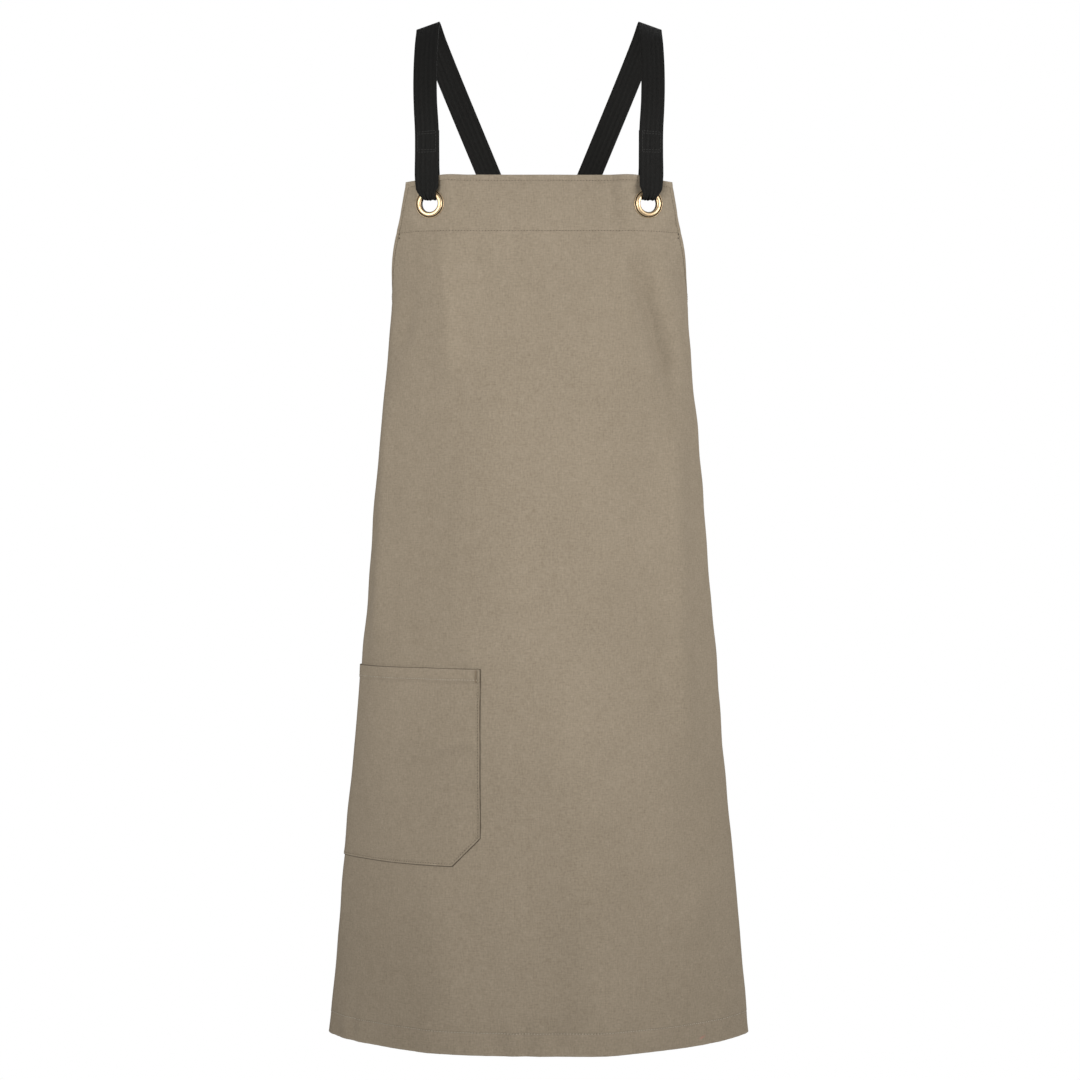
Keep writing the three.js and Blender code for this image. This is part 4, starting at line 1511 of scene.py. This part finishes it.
@dataclass
class Eyelet:
    """A domed eyelet and its washer, turned smooth.

    Attributes:
        hanging: How the panel that it sits in hangs.
        side: The side that it is on.
        steps: How many steps it has round its axis.
    """

    hanging: Hanging
    side: Side
    steps: int = 88

    @property
    def clamped(self) -> float:
        """Thickness of the cloth that the eyelet grips."""
        return self.hanging.cut.cloth + self.hanging.cut.turning

    def turned(self, name: str, ring: Sequence[tuple[float, float]]) -> bpy.types.Object:
        """Turn a closed outline round the eyelet's axis and set it in the cloth.

        Args:
            name: The piece's name.
            ring: Radius and height of the outline's corners.

        Returns:
            The piece.
        """
        bm = bmesh.new()
        corners = [bm.verts.new((radius, 0.0, height)) for radius, height in ring]
        edges = [bm.edges.new((a, b)) for a, b in zip(corners, [*corners[1:], corners[0]])]
        bmesh.ops.spin(
            bm,
            geom=[*corners, *edges],
            cent=(0.0, 0.0, 0.0),
            axis=(0.0, 0.0, 1.0),
            angle=math.tau,
            steps=self.steps,
            use_merge=True,
        )
        bmesh.ops.remove_doubles(bm, verts=list(bm.verts), dist=1e-6)
        bmesh.ops.recalc_face_normals(bm, faces=list(bm.faces))
        layer = bm.loops.layers.uv.new("turned")
        for face in bm.faces:
            for corner in face.loops:
                corner[layer].uv = (corner.vert.co.xy.length, corner.vert.co.z)
        centre, right, up, normal = (Vector(row) for row in self.hanging.eyelet_frame(self.side))
        seat = Matrix((right, up, normal)).transposed().to_4x4()
        seat.translation = centre
        bmesh.ops.transform(bm, matrix=seat, verts=list(bm.verts))
        return to_object(name, bm)

    def arc(
        self,
        centre: tuple[float, float],
        reach: tuple[float, float],
        degrees: tuple[float, float],
        count: int,
    ) -> list[tuple[float, float]]:
        """Corners along a stretch of an ellipse.

        Args:
            centre: Radius and height of its middle.
            reach: Its two half sizes.
            degrees: Where it starts and ends, from the outward direction.
            count: How many corners it has.

        Returns:
            Radius and height of each corner.
        """
        turns = [math.radians(a) for a in np.linspace(*degrees, count)]
        return [
            (centre[0] + reach[0] * math.cos(a), centre[1] + reach[1] * math.sin(a))
            for a in turns
        ]

    def flange(self) -> list[tuple[float, float]]:
        """Outline of the eyelet: dome, groove, lip, barrel and curled back end."""
        size = self.hanging.eyelet
        seat = size.gap
        dome = self.arc(
            (size.bore + (size.dome_width + size.opening) / 2.0, seat + size.dome_foot),
            ((size.dome_width - size.opening) / 2.0, size.dome_height - size.dome_foot),
            (180.0, 8.0),
            17,
        )
        groove = size.bore + size.dome_width
        lip_middle = (groove + size.outer) / 2.0 + size.lip_edge
        lip = self.arc(
            (lip_middle, seat + size.lip_height * 0.45),
            (size.outer - lip_middle, size.lip_height * 0.55),
            (168.0, -20.0),
            9,
        )
        barrel = size.bore + size.barrel_wall
        curl_top = size.curl_front(self.clamped)
        curl = self.arc(
            (size.bore + (size.curl_width + size.barrel_flare) / 2.0, curl_top - size.curl_height / 2.0),
            ((size.curl_width - size.barrel_flare) / 2.0, size.curl_height / 2.0),
            (62.0, -180.0),
            12,
        )
        return [
            *dome,
            (groove + size.lip_edge, seat + size.groove_floor),
            *lip,
            (size.outer - 2.0 * size.lip_edge, seat),
            (barrel, seat),
            (barrel, curl_top),
            *curl,
        ]

    def washer(self) -> list[tuple[float, float]]:
        """Outline of the washer, with rounded edges."""
        size = self.hanging.eyelet
        front = size.washer_front(self.clamped)
        middle = front - size.washer_thickness / 2.0
        half = size.washer_thickness / 2.0
        outer = self.arc((size.washer_outer - half, middle), (half, half), (90.0, -90.0), 7)
        inner = self.arc((size.hole + half * 0.5, middle), (half * 0.5, half), (270.0, 90.0), 7)
        return [*outer, *inner]


class Socket:
    """An output socket of a material, on which Python's operators add Math nodes."""

    def __init__(self, recipe: "Recipe", link: bpy.types.NodeSocket) -> None:
        """Wrap one output of a recipe's node."""
        self.recipe = recipe
        self.link = link

    def maths(self, operation: str, *values: "Socket | float") -> "Socket":
        """Add one Math node on these values."""
        return self.recipe.take("ShaderNodeMath", {"operation": operation}, dict(enumerate(values)))

    def __add__(self, other: "Socket | float") -> "Socket":
        """Sum."""
        return self.maths("ADD", self, other)

    __radd__ = __add__

    def __sub__(self, other: "Socket | float") -> "Socket":
        """Difference."""
        return self.maths("SUBTRACT", self, other)

    def __rsub__(self, other: "Socket | float") -> "Socket":
        """Difference from a number."""
        return self.maths("SUBTRACT", other, self)

    def __mul__(self, other: "Socket | float") -> "Socket":
        """Product."""
        return self.maths("MULTIPLY", self, other)

    __rmul__ = __mul__

    def __truediv__(self, other: "Socket | float") -> "Socket":
        """Quotient."""
        return self.maths("DIVIDE", self, other)

    def __pow__(self, other: "Socket | float") -> "Socket":
        """Power."""
        return self.maths("POWER", self, other)

    def __abs__(self) -> "Socket":
        """Size without its sign."""
        return self.maths("ABSOLUTE", self)

    def __gt__(self, other: "Socket | float") -> "Socket":
        """1 where it is greater, else 0."""
        return self.maths("GREATER_THAN", self, other)

    def sine(self) -> "Socket":
        """Sine of an angle."""
        return self.maths("SINE", self)

    def near(self, place: float, width: float) -> "Socket":
        """A soft bump from 0 to 1 round a place."""
        off = (self - place) / width
        return self.maths("EXPONENT", off * off * -1.0)

    def eased(self, low: float, high: float) -> "Socket":
        """Ease from 0 to 1 between two values."""
        values = {"Value": self, "From Min": low, "From Max": high}
        return self.recipe.take("ShaderNodeMapRange", {"interpolation_type": "SMOOTHSTEP"}, values)


Colour = tuple[float, float, float]


class Recipe:
    """The nodes of one material."""

    def __init__(self, name: str) -> None:
        """Start a material with a bare surface shader."""
        self.material = bpy.data.materials.new(name)
        self.material.use_nodes = True
        self.tree = self.material.node_tree
        self.tree.nodes.clear()
        self.surface = self.node("ShaderNodeBsdfPrincipled")
        output = self.node("ShaderNodeOutputMaterial")
        self.tree.links.new(self.surface.outputs["BSDF"], output.inputs["Surface"])

    def node(
        self,
        kind: str,
        settings: dict[str, object] | None = None,
        inputs: dict[int | str, object] | None = None,
    ) -> bpy.types.Node:
        """Add a node.

        Args:
            kind: The node's type.
            settings: Its own settings, set first. stops are a ramp's places and colours.
            inputs: Values or links of its sockets, by name or number.

        Returns:
            The node.
        """
        made = self.tree.nodes.new(kind)
        for name, value in (settings or {}).items():
            if name == "stops":
                self.set_stops(made.color_ramp, value)
            else:
                setattr(made, name, value)
        for name, value in (inputs or {}).items():
            if isinstance(value, Socket):
                self.tree.links.new(value.link, made.inputs[name])
            else:
                made.inputs[name].default_value = value
        return made

    @staticmethod
    def set_stops(ramp: bpy.types.ColorRamp, stops: Sequence[tuple[float, Colour]]) -> None:
        """Give a colour ramp its stops."""
        while len(ramp.elements) < len(stops):
            ramp.elements.new(1.0)
        for element, (place, colour) in zip(ramp.elements, stops):
            element.position = place
            element.color = (*colour, 1.0)

    def take(
        self,
        kind: str,
        settings: dict[str, object] | None = None,
        inputs: dict[int | str, object] | None = None,
        output: int | str = 0,
    ) -> Socket:
        """Add a node and take one of its outputs."""
        return Socket(self, self.node(kind, settings, inputs).outputs[output])

    def axes(self, vector: Socket) -> tuple[Socket, Socket, Socket]:
        """The three parts of a vector."""
        parts = self.node("ShaderNodeSeparateXYZ", inputs={"Vector": vector})
        return tuple(Socket(self, parts.outputs[i]) for i in range(3))

    def noise(self, vector: Socket, scale: Colour, detail: float = 2.0, rough: float = 0.5) -> Socket:
        """Noise from 0 to 1 with its own scale along each axis."""
        place = self.take("ShaderNodeMapping", inputs={"Vector": vector, "Scale": scale})
        values = {"Vector": place, "Scale": 1.0, "Detail": detail, "Roughness": rough}
        return self.take("ShaderNodeTexNoise", inputs=values)

    def blend(self, share: Socket | float, low: Socket | Colour, high: Socket | Colour) -> Socket:
        """Mix two colours."""
        low, high = (v if isinstance(v, Socket) else (*v, 1.0) for v in (low, high))
        settings = {"data_type": "RGBA", "clamp_factor": True}
        return self.take("ShaderNodeMix", settings, {0: share, 6: low, 7: high}, 2)

    def set(self, **values: object) -> None:
        """Set or link sockets of the surface shader, named with _ for a space."""
        for name, value in values.items():
            socket = self.surface.inputs[name.replace("_", " ")]
            if isinstance(value, Socket):
                self.tree.links.new(value.link, socket)
            else:
                socket.default_value = value

    def bump(self, height: Socket, distance: float, strength: float = 1.0) -> None:
        """Raise the surface by a height from 0 to 1 over a real distance."""
        values = {"Height": height, "Distance": distance, "Strength": strength}
        self.set(Normal=self.take("ShaderNodeBump", inputs=values))


@dataclass(frozen=True)
class Canvas:
    """Washed khaki canvas in plain weave, read on the cloth's own flat map.

    Attributes:
        name: The material's name.
        outline: Flat lines of the piece's outline, each as (a, b, c) of a * x + b * y + c,
            which is how far in from the line a place lies.
        fade: How far in from the outline the lighter rim of rubbed edge and painted highlight reaches.
        darkening: How strongly painted shade darkens the outline's very edge.
        mark: Flat place of a small pink mark, if it has one.
        low: Colour of its darkest yarns.
        high: Colour of its lightest yarns.
        wear_and_highlight_colour: Colour of that rim: rubbed edge cloth with a painted highlight.
        painted_shade_colour: Colour of the shade painted along that edge.
        pink: Colour of the mark.
        pitch: From one yarn to the next.
        relief: Height of the weave.
    """

    name: str
    outline: tuple[tuple[float, float, float], ...]
    fade: float = 0.0016
    darkening: float = 0.0
    mark: tuple[float, float] | None = None
    low: Colour = (0.232, 0.189, 0.134)
    high: Colour = (0.362, 0.301, 0.225)
    wear_and_highlight_colour: Colour = (0.430, 0.370, 0.285)
    painted_shade_colour: Colour = (0.060, 0.046, 0.031)
    pink: Colour = (0.56, 0.20, 0.17)
    pitch: float = 0.00095
    relief: float = 0.00022

    def make(self) -> bpy.types.Material:
        """Build the material."""
        recipe = Recipe(self.name)
        cloth = recipe.take("ShaderNodeUVMap", {"uv_map": "cloth"})
        x, y, _ = recipe.axes(cloth)
        warp = (x * (math.pi / self.pitch)).sine()
        weft = (y * (math.pi / self.pitch)).sine()
        over = (warp * weft) > 0.0
        crown = over * abs(weft) * (abs(warp) ** 0.5) + (1.0 - over) * abs(warp) * (abs(weft) ** 0.5)
        warp_slub = recipe.noise(cloth, (800.0, 130.0, 1.0), 2.0)
        weft_slub = recipe.noise(cloth, (150.0, 820.0, 1.0), 2.0)
        speckle = recipe.noise(cloth, (420.0, 400.0, 1.0), 2.0)
        streak = recipe.noise(cloth, (300.0, 16.0, 1.0), 2.0)
        wash = recipe.noise(cloth, (9.0, 7.0, 1.0), 4.0, 0.55)
        mottle = recipe.noise(cloth, (75.0, 65.0, 1.0), 3.0)
        tone = 0.5 + 0.16 * (crown - 0.5) + 0.75 * (warp_slub - 0.5) + 0.75 * (weft_slub - 0.5)
        tone = tone + 0.8 * (speckle - 0.5) + 0.16 * (streak - 0.5)
        tone = tone + 0.38 * (wash - 0.5) + 0.34 * (mottle - 0.5)
        colour = recipe.blend(tone, self.low, self.high)
        inset = None
        for a, b, c in self.outline:
            line = a * x + b * y + c
            inset = line if inset is None else inset.maths("MINIMUM", inset, line)
        # A lighter rim along the outline: partly rubbed edge cloth, partly a painted highlight of the
        # rounded edge.
        rim = inset.near(0.0, self.fade)
        wear_and_highlight = rim * recipe.noise(cloth, (160.0, 160.0, 1.0), 3.0).eased(0.35, 0.7)
        colour = recipe.blend(0.35 * wear_and_highlight, colour, self.wear_and_highlight_colour)
        # Painted shade: the outline's very edge is darkened like the shadow along a raised sewn edge.
        if self.darkening:
            colour = recipe.blend(self.darkening * inset.near(0.0, 0.0006), colour, self.painted_shade_colour)
        if self.mark:
            beside_it, above_it = x - self.mark[0], y - self.mark[1]
            streaked = (beside_it + 0.3 * above_it).near(0.0, 0.0036)
            streaked = streaked * (above_it - 0.3 * beside_it).near(0.0, 0.0010)
            rubbed = recipe.noise(cloth, (500.0, 500.0, 1.0), 2.0).eased(0.35, 0.55)
            colour = recipe.blend(0.8 * streaked * rubbed, colour, self.pink)
        recipe.set(Base_Color=colour, Roughness=0.86 + 0.12 * (1.0 - crown))
        recipe.set(Sheen_Weight=0.03, Sheen_Roughness=0.5, Specular_IOR_Level=0.1)
        recipe.bump(0.7 * crown + 0.35 * (warp_slub + weft_slub) + 0.35 * speckle, self.relief, 0.9)
        return recipe.material


@dataclass(frozen=True)
class Webbing:
    """Black cotton webbing with ribs across and faint bands along.

    Attributes:
        name: The material's name.
        low: Colour of its darkest yarns.
        high: Colour of its lightest yarns.
        rib: From one rib to the next.
        warp: From one lengthwise yarn to the next.
        band: From one faint band to the next.
        half_width: Half the webbing's width.
        selvedge: Width of its darker edges.
        relief: Height of the ribs.
    """

    name: str = "black_webbing"
    low: Colour = (0.0045, 0.0044, 0.0041)
    high: Colour = (0.0215, 0.0210, 0.0195)
    rib: float = 0.0012
    warp: float = 0.0011
    band: float = 0.0052
    half_width: float = 0.013
    selvedge: float = 0.0018
    relief: float = 0.00025

    def make(self) -> bpy.types.Material:
        """Build the material."""
        recipe = Recipe(self.name)
        cloth = recipe.take("ShaderNodeUVMap", {"uv_map": "cloth"})
        x, y, _ = recipe.axes(cloth)
        rib = (y * (math.pi / self.rib)).sine()
        yarn = (x * (math.pi / self.warp)).sine()
        over = (rib * yarn) > 0.0
        crown = over * abs(yarn) + (1.0 - over) * abs(rib) * 0.7
        bands = 0.5 + 0.5 * (x * (math.tau / self.band)).sine()
        fuzz = recipe.noise(cloth, (900.0, 260.0, 1.0), 3.0)
        streak = recipe.noise(cloth, (700.0, 12.0, 1.0), 2.0)
        selvedge = abs(x).eased(self.half_width - self.selvedge, self.half_width)
        tone = 0.5 + 0.34 * (crown - 0.5) + 0.18 * (bands - 0.5) + 0.7 * (fuzz - 0.5)
        tone = tone + 0.5 * (streak - 0.5) - 0.15 * selvedge
        recipe.set(Base_Color=recipe.blend(tone, self.low, self.high))
        recipe.set(Roughness=0.80 + 0.15 * fuzz, Specular_IOR_Level=0.12)
        recipe.set(Sheen_Weight=0.03, Sheen_Roughness=0.4)
        recipe.bump(crown + 0.4 * fuzz + 0.3 * bands, self.relief, 0.9)
        return recipe.material


@dataclass(frozen=True)
class Yarn:
    """Matt sewing thread, or the shade in a needle hole, in one slightly uneven colour.

    Attributes:
        name: The material's name.
        low: Its darkest colour.
        high: Its lightest colour.
    """

    name: str
    low: Colour
    high: Colour

    def make(self) -> bpy.types.Material:
        """Build the material."""
        recipe = Recipe(self.name)
        place = recipe.take("ShaderNodeTexCoord", output="Object")
        tone = recipe.noise(place, (900.0, 900.0, 900.0), 2.0)
        slow = recipe.noise(place, (25.0, 25.0, 25.0), 2.0)
        recipe.set(Base_Color=recipe.blend(0.6 * tone + 0.5 * slow, self.low, self.high))
        recipe.set(Roughness=0.75 + 0.2 * tone, Specular_IOR_Level=0.15)
        recipe.bump(recipe.noise(place, (2600.0, 2600.0, 2600.0), 1.0), 0.00008, 0.8)
        return recipe.material


@dataclass(frozen=True)
class Brass:
    """Polished brass with hairline scratches and dark patina in its grooves.

    Attributes:
        name: The material's name.
        grooves: Radii between which each groove's patina lies.
        bright: Colour of the polished metal.
        dull: Colour where it is tarnished.
        patina: Colour of the grooves.
        soft: Over what distance a groove's patina fades out.
    """

    name: str
    grooves: tuple[tuple[float, float], ...]
    bright: Colour = (0.76, 0.57, 0.35)
    dull: Colour = (0.50, 0.32, 0.14)
    patina: Colour = (0.012, 0.009, 0.006)
    soft: float = 0.00018

    def make(self) -> bpy.types.Material:
        """Build the material."""
        recipe = Recipe(self.name)
        place = recipe.take("ShaderNodeTexCoord", output="Object")
        radius, _, _ = recipe.axes(recipe.take("ShaderNodeUVMap", {"uv_map": "turned"}))
        tarnish = recipe.noise(place, (240.0, 240.0, 240.0), 4.0).eased(0.45, 0.8)
        hairline = recipe.noise(place, (400.0, 5200.0, 900.0), 2.0)
        other = recipe.noise(place, (4800.0, 700.0, 600.0), 2.0)
        darkening: Socket | float = 0.0
        for inner, outer in self.grooves:
            outside = radius.eased(outer, outer + self.soft)
            darkening = radius.eased(inner - self.soft, inner) * (1.0 - outside) + darkening
        darkening = darkening * (0.75 + 0.4 * recipe.noise(place, (900.0, 900.0, 900.0), 2.0))
        metal = recipe.blend(0.45 * tarnish, self.bright, self.dull)
        recipe.set(Base_Color=recipe.blend(darkening, metal, self.patina))
        recipe.set(Metallic=1.0 - darkening, Specular_IOR_Level=0.1)
        recipe.set(Roughness=0.42 + 0.10 * tarnish + 0.08 * hairline + 0.30 * darkening)
        recipe.bump(0.5 * hairline + 0.5 * other, 0.00001, 0.5)
        return recipe.material


@dataclass(frozen=True)
class Lamp:
    """A large soft lamp.

    Attributes:
        name: Its name.
        place: Where it hangs.
        aim: What it points at.
        size: Its width.
        watts: Its power.
    """

    name: str
    place: tuple[float, float, float]
    aim: tuple[float, float, float]
    size: float
    watts: float


@dataclass
class Studio:
    """The pale floor, the soft light and the camera.

    Attributes:
        floor_height: Height of the floor.
        floor_radius: Radius of the floor.
        eye: Where the camera is.
        lens: Its focal length in millimetres.
        sensor: Its sensor's width in millimetres.
        backdrop: Strength of the surroundings where the camera sees them.
        sky: Their strength as light.
        spread: Angle over which the lamps shine.
        lamps: The lamps.
    """

    floor_height: float = -1.75
    floor_radius: float = 1.9
    eye: tuple[float, float, float] = (0.001, -3.110, -0.5526)
    lens: float = 96.2
    sensor: float = 36.0
    backdrop: float = 1.0
    sky: float = 0.12
    spread: float = math.radians(120.0)
    lamps: tuple[Lamp, ...] = (
        Lamp("front", (-0.9, -1.3, -0.3), (0.0, -0.1, -0.45), 1.0, 8.6),
        Lamp("left", (-1.7, -0.9, -0.25), (0.0, -0.1, -0.45), 1.3, 2.6),
        Lamp("right", (1.7, -1.0, -0.25), (0.0, -0.1, -0.45), 1.0, 14.6),
        Lamp("back", (0.5, 2.6, 0.9), (0.0, 0.1, -0.5), 1.8, 26.0),
    )

    def floor(self) -> bpy.types.Object:
        """A plain pale round floor under the hanging apron."""
        bm = bmesh.new()
        place = Matrix.Translation((0.0, 0.0, self.floor_height))
        bmesh.ops.create_circle(
            bm, cap_ends=True, segments=128, radius=self.floor_radius, matrix=place
        )
        thing = to_object("floor", bm)
        recipe = Recipe("pale_floor")
        spot = recipe.take("ShaderNodeTexCoord", output="Object")
        tone = recipe.noise(spot, (0.6, 0.6, 0.6), 2.0)
        recipe.set(Base_Color=recipe.blend(tone, (0.80, 0.80, 0.80), (0.84, 0.84, 0.84)))
        recipe.set(Roughness=0.9, Specular_IOR_Level=0.1)
        thing.data.materials.append(recipe.material)
        thing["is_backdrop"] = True
        return thing

    def light(self, lamp: Lamp) -> None:
        """Hang one lamp and aim it, unseen by the camera."""
        data = bpy.data.lights.new(lamp.name, "AREA")
        data.shape = "DISK"
        data.size = lamp.size
        data.energy = lamp.watts
        data.spread = self.spread
        thing = bpy.data.objects.new(lamp.name, data)
        thing.visible_camera = False
        thing.location = lamp.place
        way = Vector(lamp.aim) - Vector(lamp.place)
        thing.rotation_euler = way.to_track_quat("-Z", "Y").to_euler()
        bpy.context.scene.collection.objects.link(thing)

    def camera(self) -> None:
        """A level camera in front of the apron."""
        data = bpy.data.cameras.new("camera")
        data.lens = self.lens
        data.sensor_width = self.sensor
        data.clip_end = 200.0
        thing = bpy.data.objects.new("camera", data)
        thing.location = self.eye
        thing.rotation_euler = (math.pi / 2.0, 0.0, 0.0)
        bpy.context.scene.collection.objects.link(thing)
        bpy.context.scene.camera = thing

    def world(self) -> None:
        """Even pale surroundings, seen white and shining more softly."""
        world = bpy.data.worlds.new("studio")
        world.use_nodes = True
        nodes, links = world.node_tree.nodes, world.node_tree.links
        background = nodes["Background"]
        background.inputs["Color"].default_value = (1.0, 1.0, 1.0, 1.0)
        seen = nodes.new("ShaderNodeLightPath")
        strength = nodes.new("ShaderNodeMapRange")
        strength.inputs["To Min"].default_value = self.sky
        strength.inputs["To Max"].default_value = self.backdrop
        links.new(seen.outputs["Is Camera Ray"], strength.inputs["Value"])
        links.new(strength.outputs["Result"], background.inputs["Strength"])
        bpy.context.scene.world = world
        bpy.context.scene.view_settings.view_transform = "Standard"

    def build(self) -> None:
        """Set the whole studio up."""
        self.floor()
        self.camera()
        self.world()
        for lamp in self.lamps:
            self.light(lamp)


def main() -> None:
    """Build every sub-assembly in order and report each piece."""
    logging.basicConfig(level=logging.INFO, format="%(name)s: %(message)s")
    Studio().build()
    hanging = Hanging()
    pocket = Pocket(hanging)
    pink_mark = (0.192, -0.9095)
    canvas = Canvas("khaki_canvas", hanging.cut.outline, mark=pink_mark).make()
    # The pocket's canvas gets painted shade along its very edge.
    pocket_canvas = Canvas("pocket_canvas", pocket.outline, darkening=0.95).make()
    webbing = Webbing().make()
    brass = Brass("polished_brass", hanging.eyelet.grooves).make()
    khaki_yarn = Yarn("khaki_yarn", (0.24, 0.195, 0.14), (0.36, 0.30, 0.225)).make()
    light_yarn = Yarn("light_yarn", (0.50, 0.45, 0.36), (0.66, 0.60, 0.50)).make()
    tack_yarn = Yarn("tack_yarn", (0.17, 0.13, 0.088), (0.30, 0.24, 0.17)).make()
    # needle_hole, soft_needle_hole and black_hole paint the shade in needle holes.
    needle_hole = Yarn("needle_hole", (0.045, 0.035, 0.024), (0.090, 0.071, 0.050)).make()
    soft_hole = Yarn("soft_needle_hole", (0.075, 0.060, 0.042), (0.130, 0.105, 0.077)).make()
    black_yarn = Yarn("black_yarn", (0.026, 0.026, 0.025), (0.085, 0.083, 0.079)).make()
    black_hole = Yarn("black_hole", (0.002, 0.002, 0.002), (0.005, 0.005, 0.005)).make()
    panel_set = [khaki_yarn, soft_hole, light_yarn, tack_yarn]
    pocket_set = [khaki_yarn, needle_hole, light_yarn, tack_yarn]

    panel = Panel(hanging)
    cloth = finish_piece(panel.build(), [canvas], Slot.CANVAS, ["apron_panel"])
    panel_thread = Thread("panel_stitching")
    panel.sew(panel_thread)
    panel_stitches = finish_piece(panel_thread.build(), panel_set, Slot.CANVAS)

    patch = finish_piece(pocket.build(), [pocket_canvas], Slot.CANVAS, ["pocket"])
    pocket_thread = Thread("pocket_stitching")
    pocket.sew(pocket_thread)
    pocket_stitches = finish_piece(pocket_thread.build(), pocket_set, Slot.CANVAS)

    for side in Side:
        eyelet = Eyelet(hanging, side)
        ring = eyelet.turned(f"brass_eyelet_{side.word}", eyelet.flange())
        finish_piece(ring, [brass], Slot.BRASS, [f"eyelet_{side.word}"])
        washer = eyelet.turned(f"brass_washer_{side.word}", eyelet.washer())
        finish_piece(washer, [brass], Slot.BRASS, [f"washer_{side.word}"])
        strap = Strap(hanging, side)
        tape = finish_piece(strap.build(), [webbing], Slot.WEBBING, [f"strap_{side.word}"])
        strap_thread = Thread(f"strap_stitching_{side.word}")
        strap.sew(strap_thread)
        finish_piece(strap_thread.build(), [black_yarn, black_hole], Slot.WEBBING)
        tape.name
        LOG.info("strap %s: %.3f m of webbing", side.word, strap.length)


if __name__ == "__main__":
    main()
    boxes = {"cad": SOLID_BOX, "visual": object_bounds()}
    rows = {name: [[float(v) for v in corner] for corner in box] for name, box in boxes.items()}
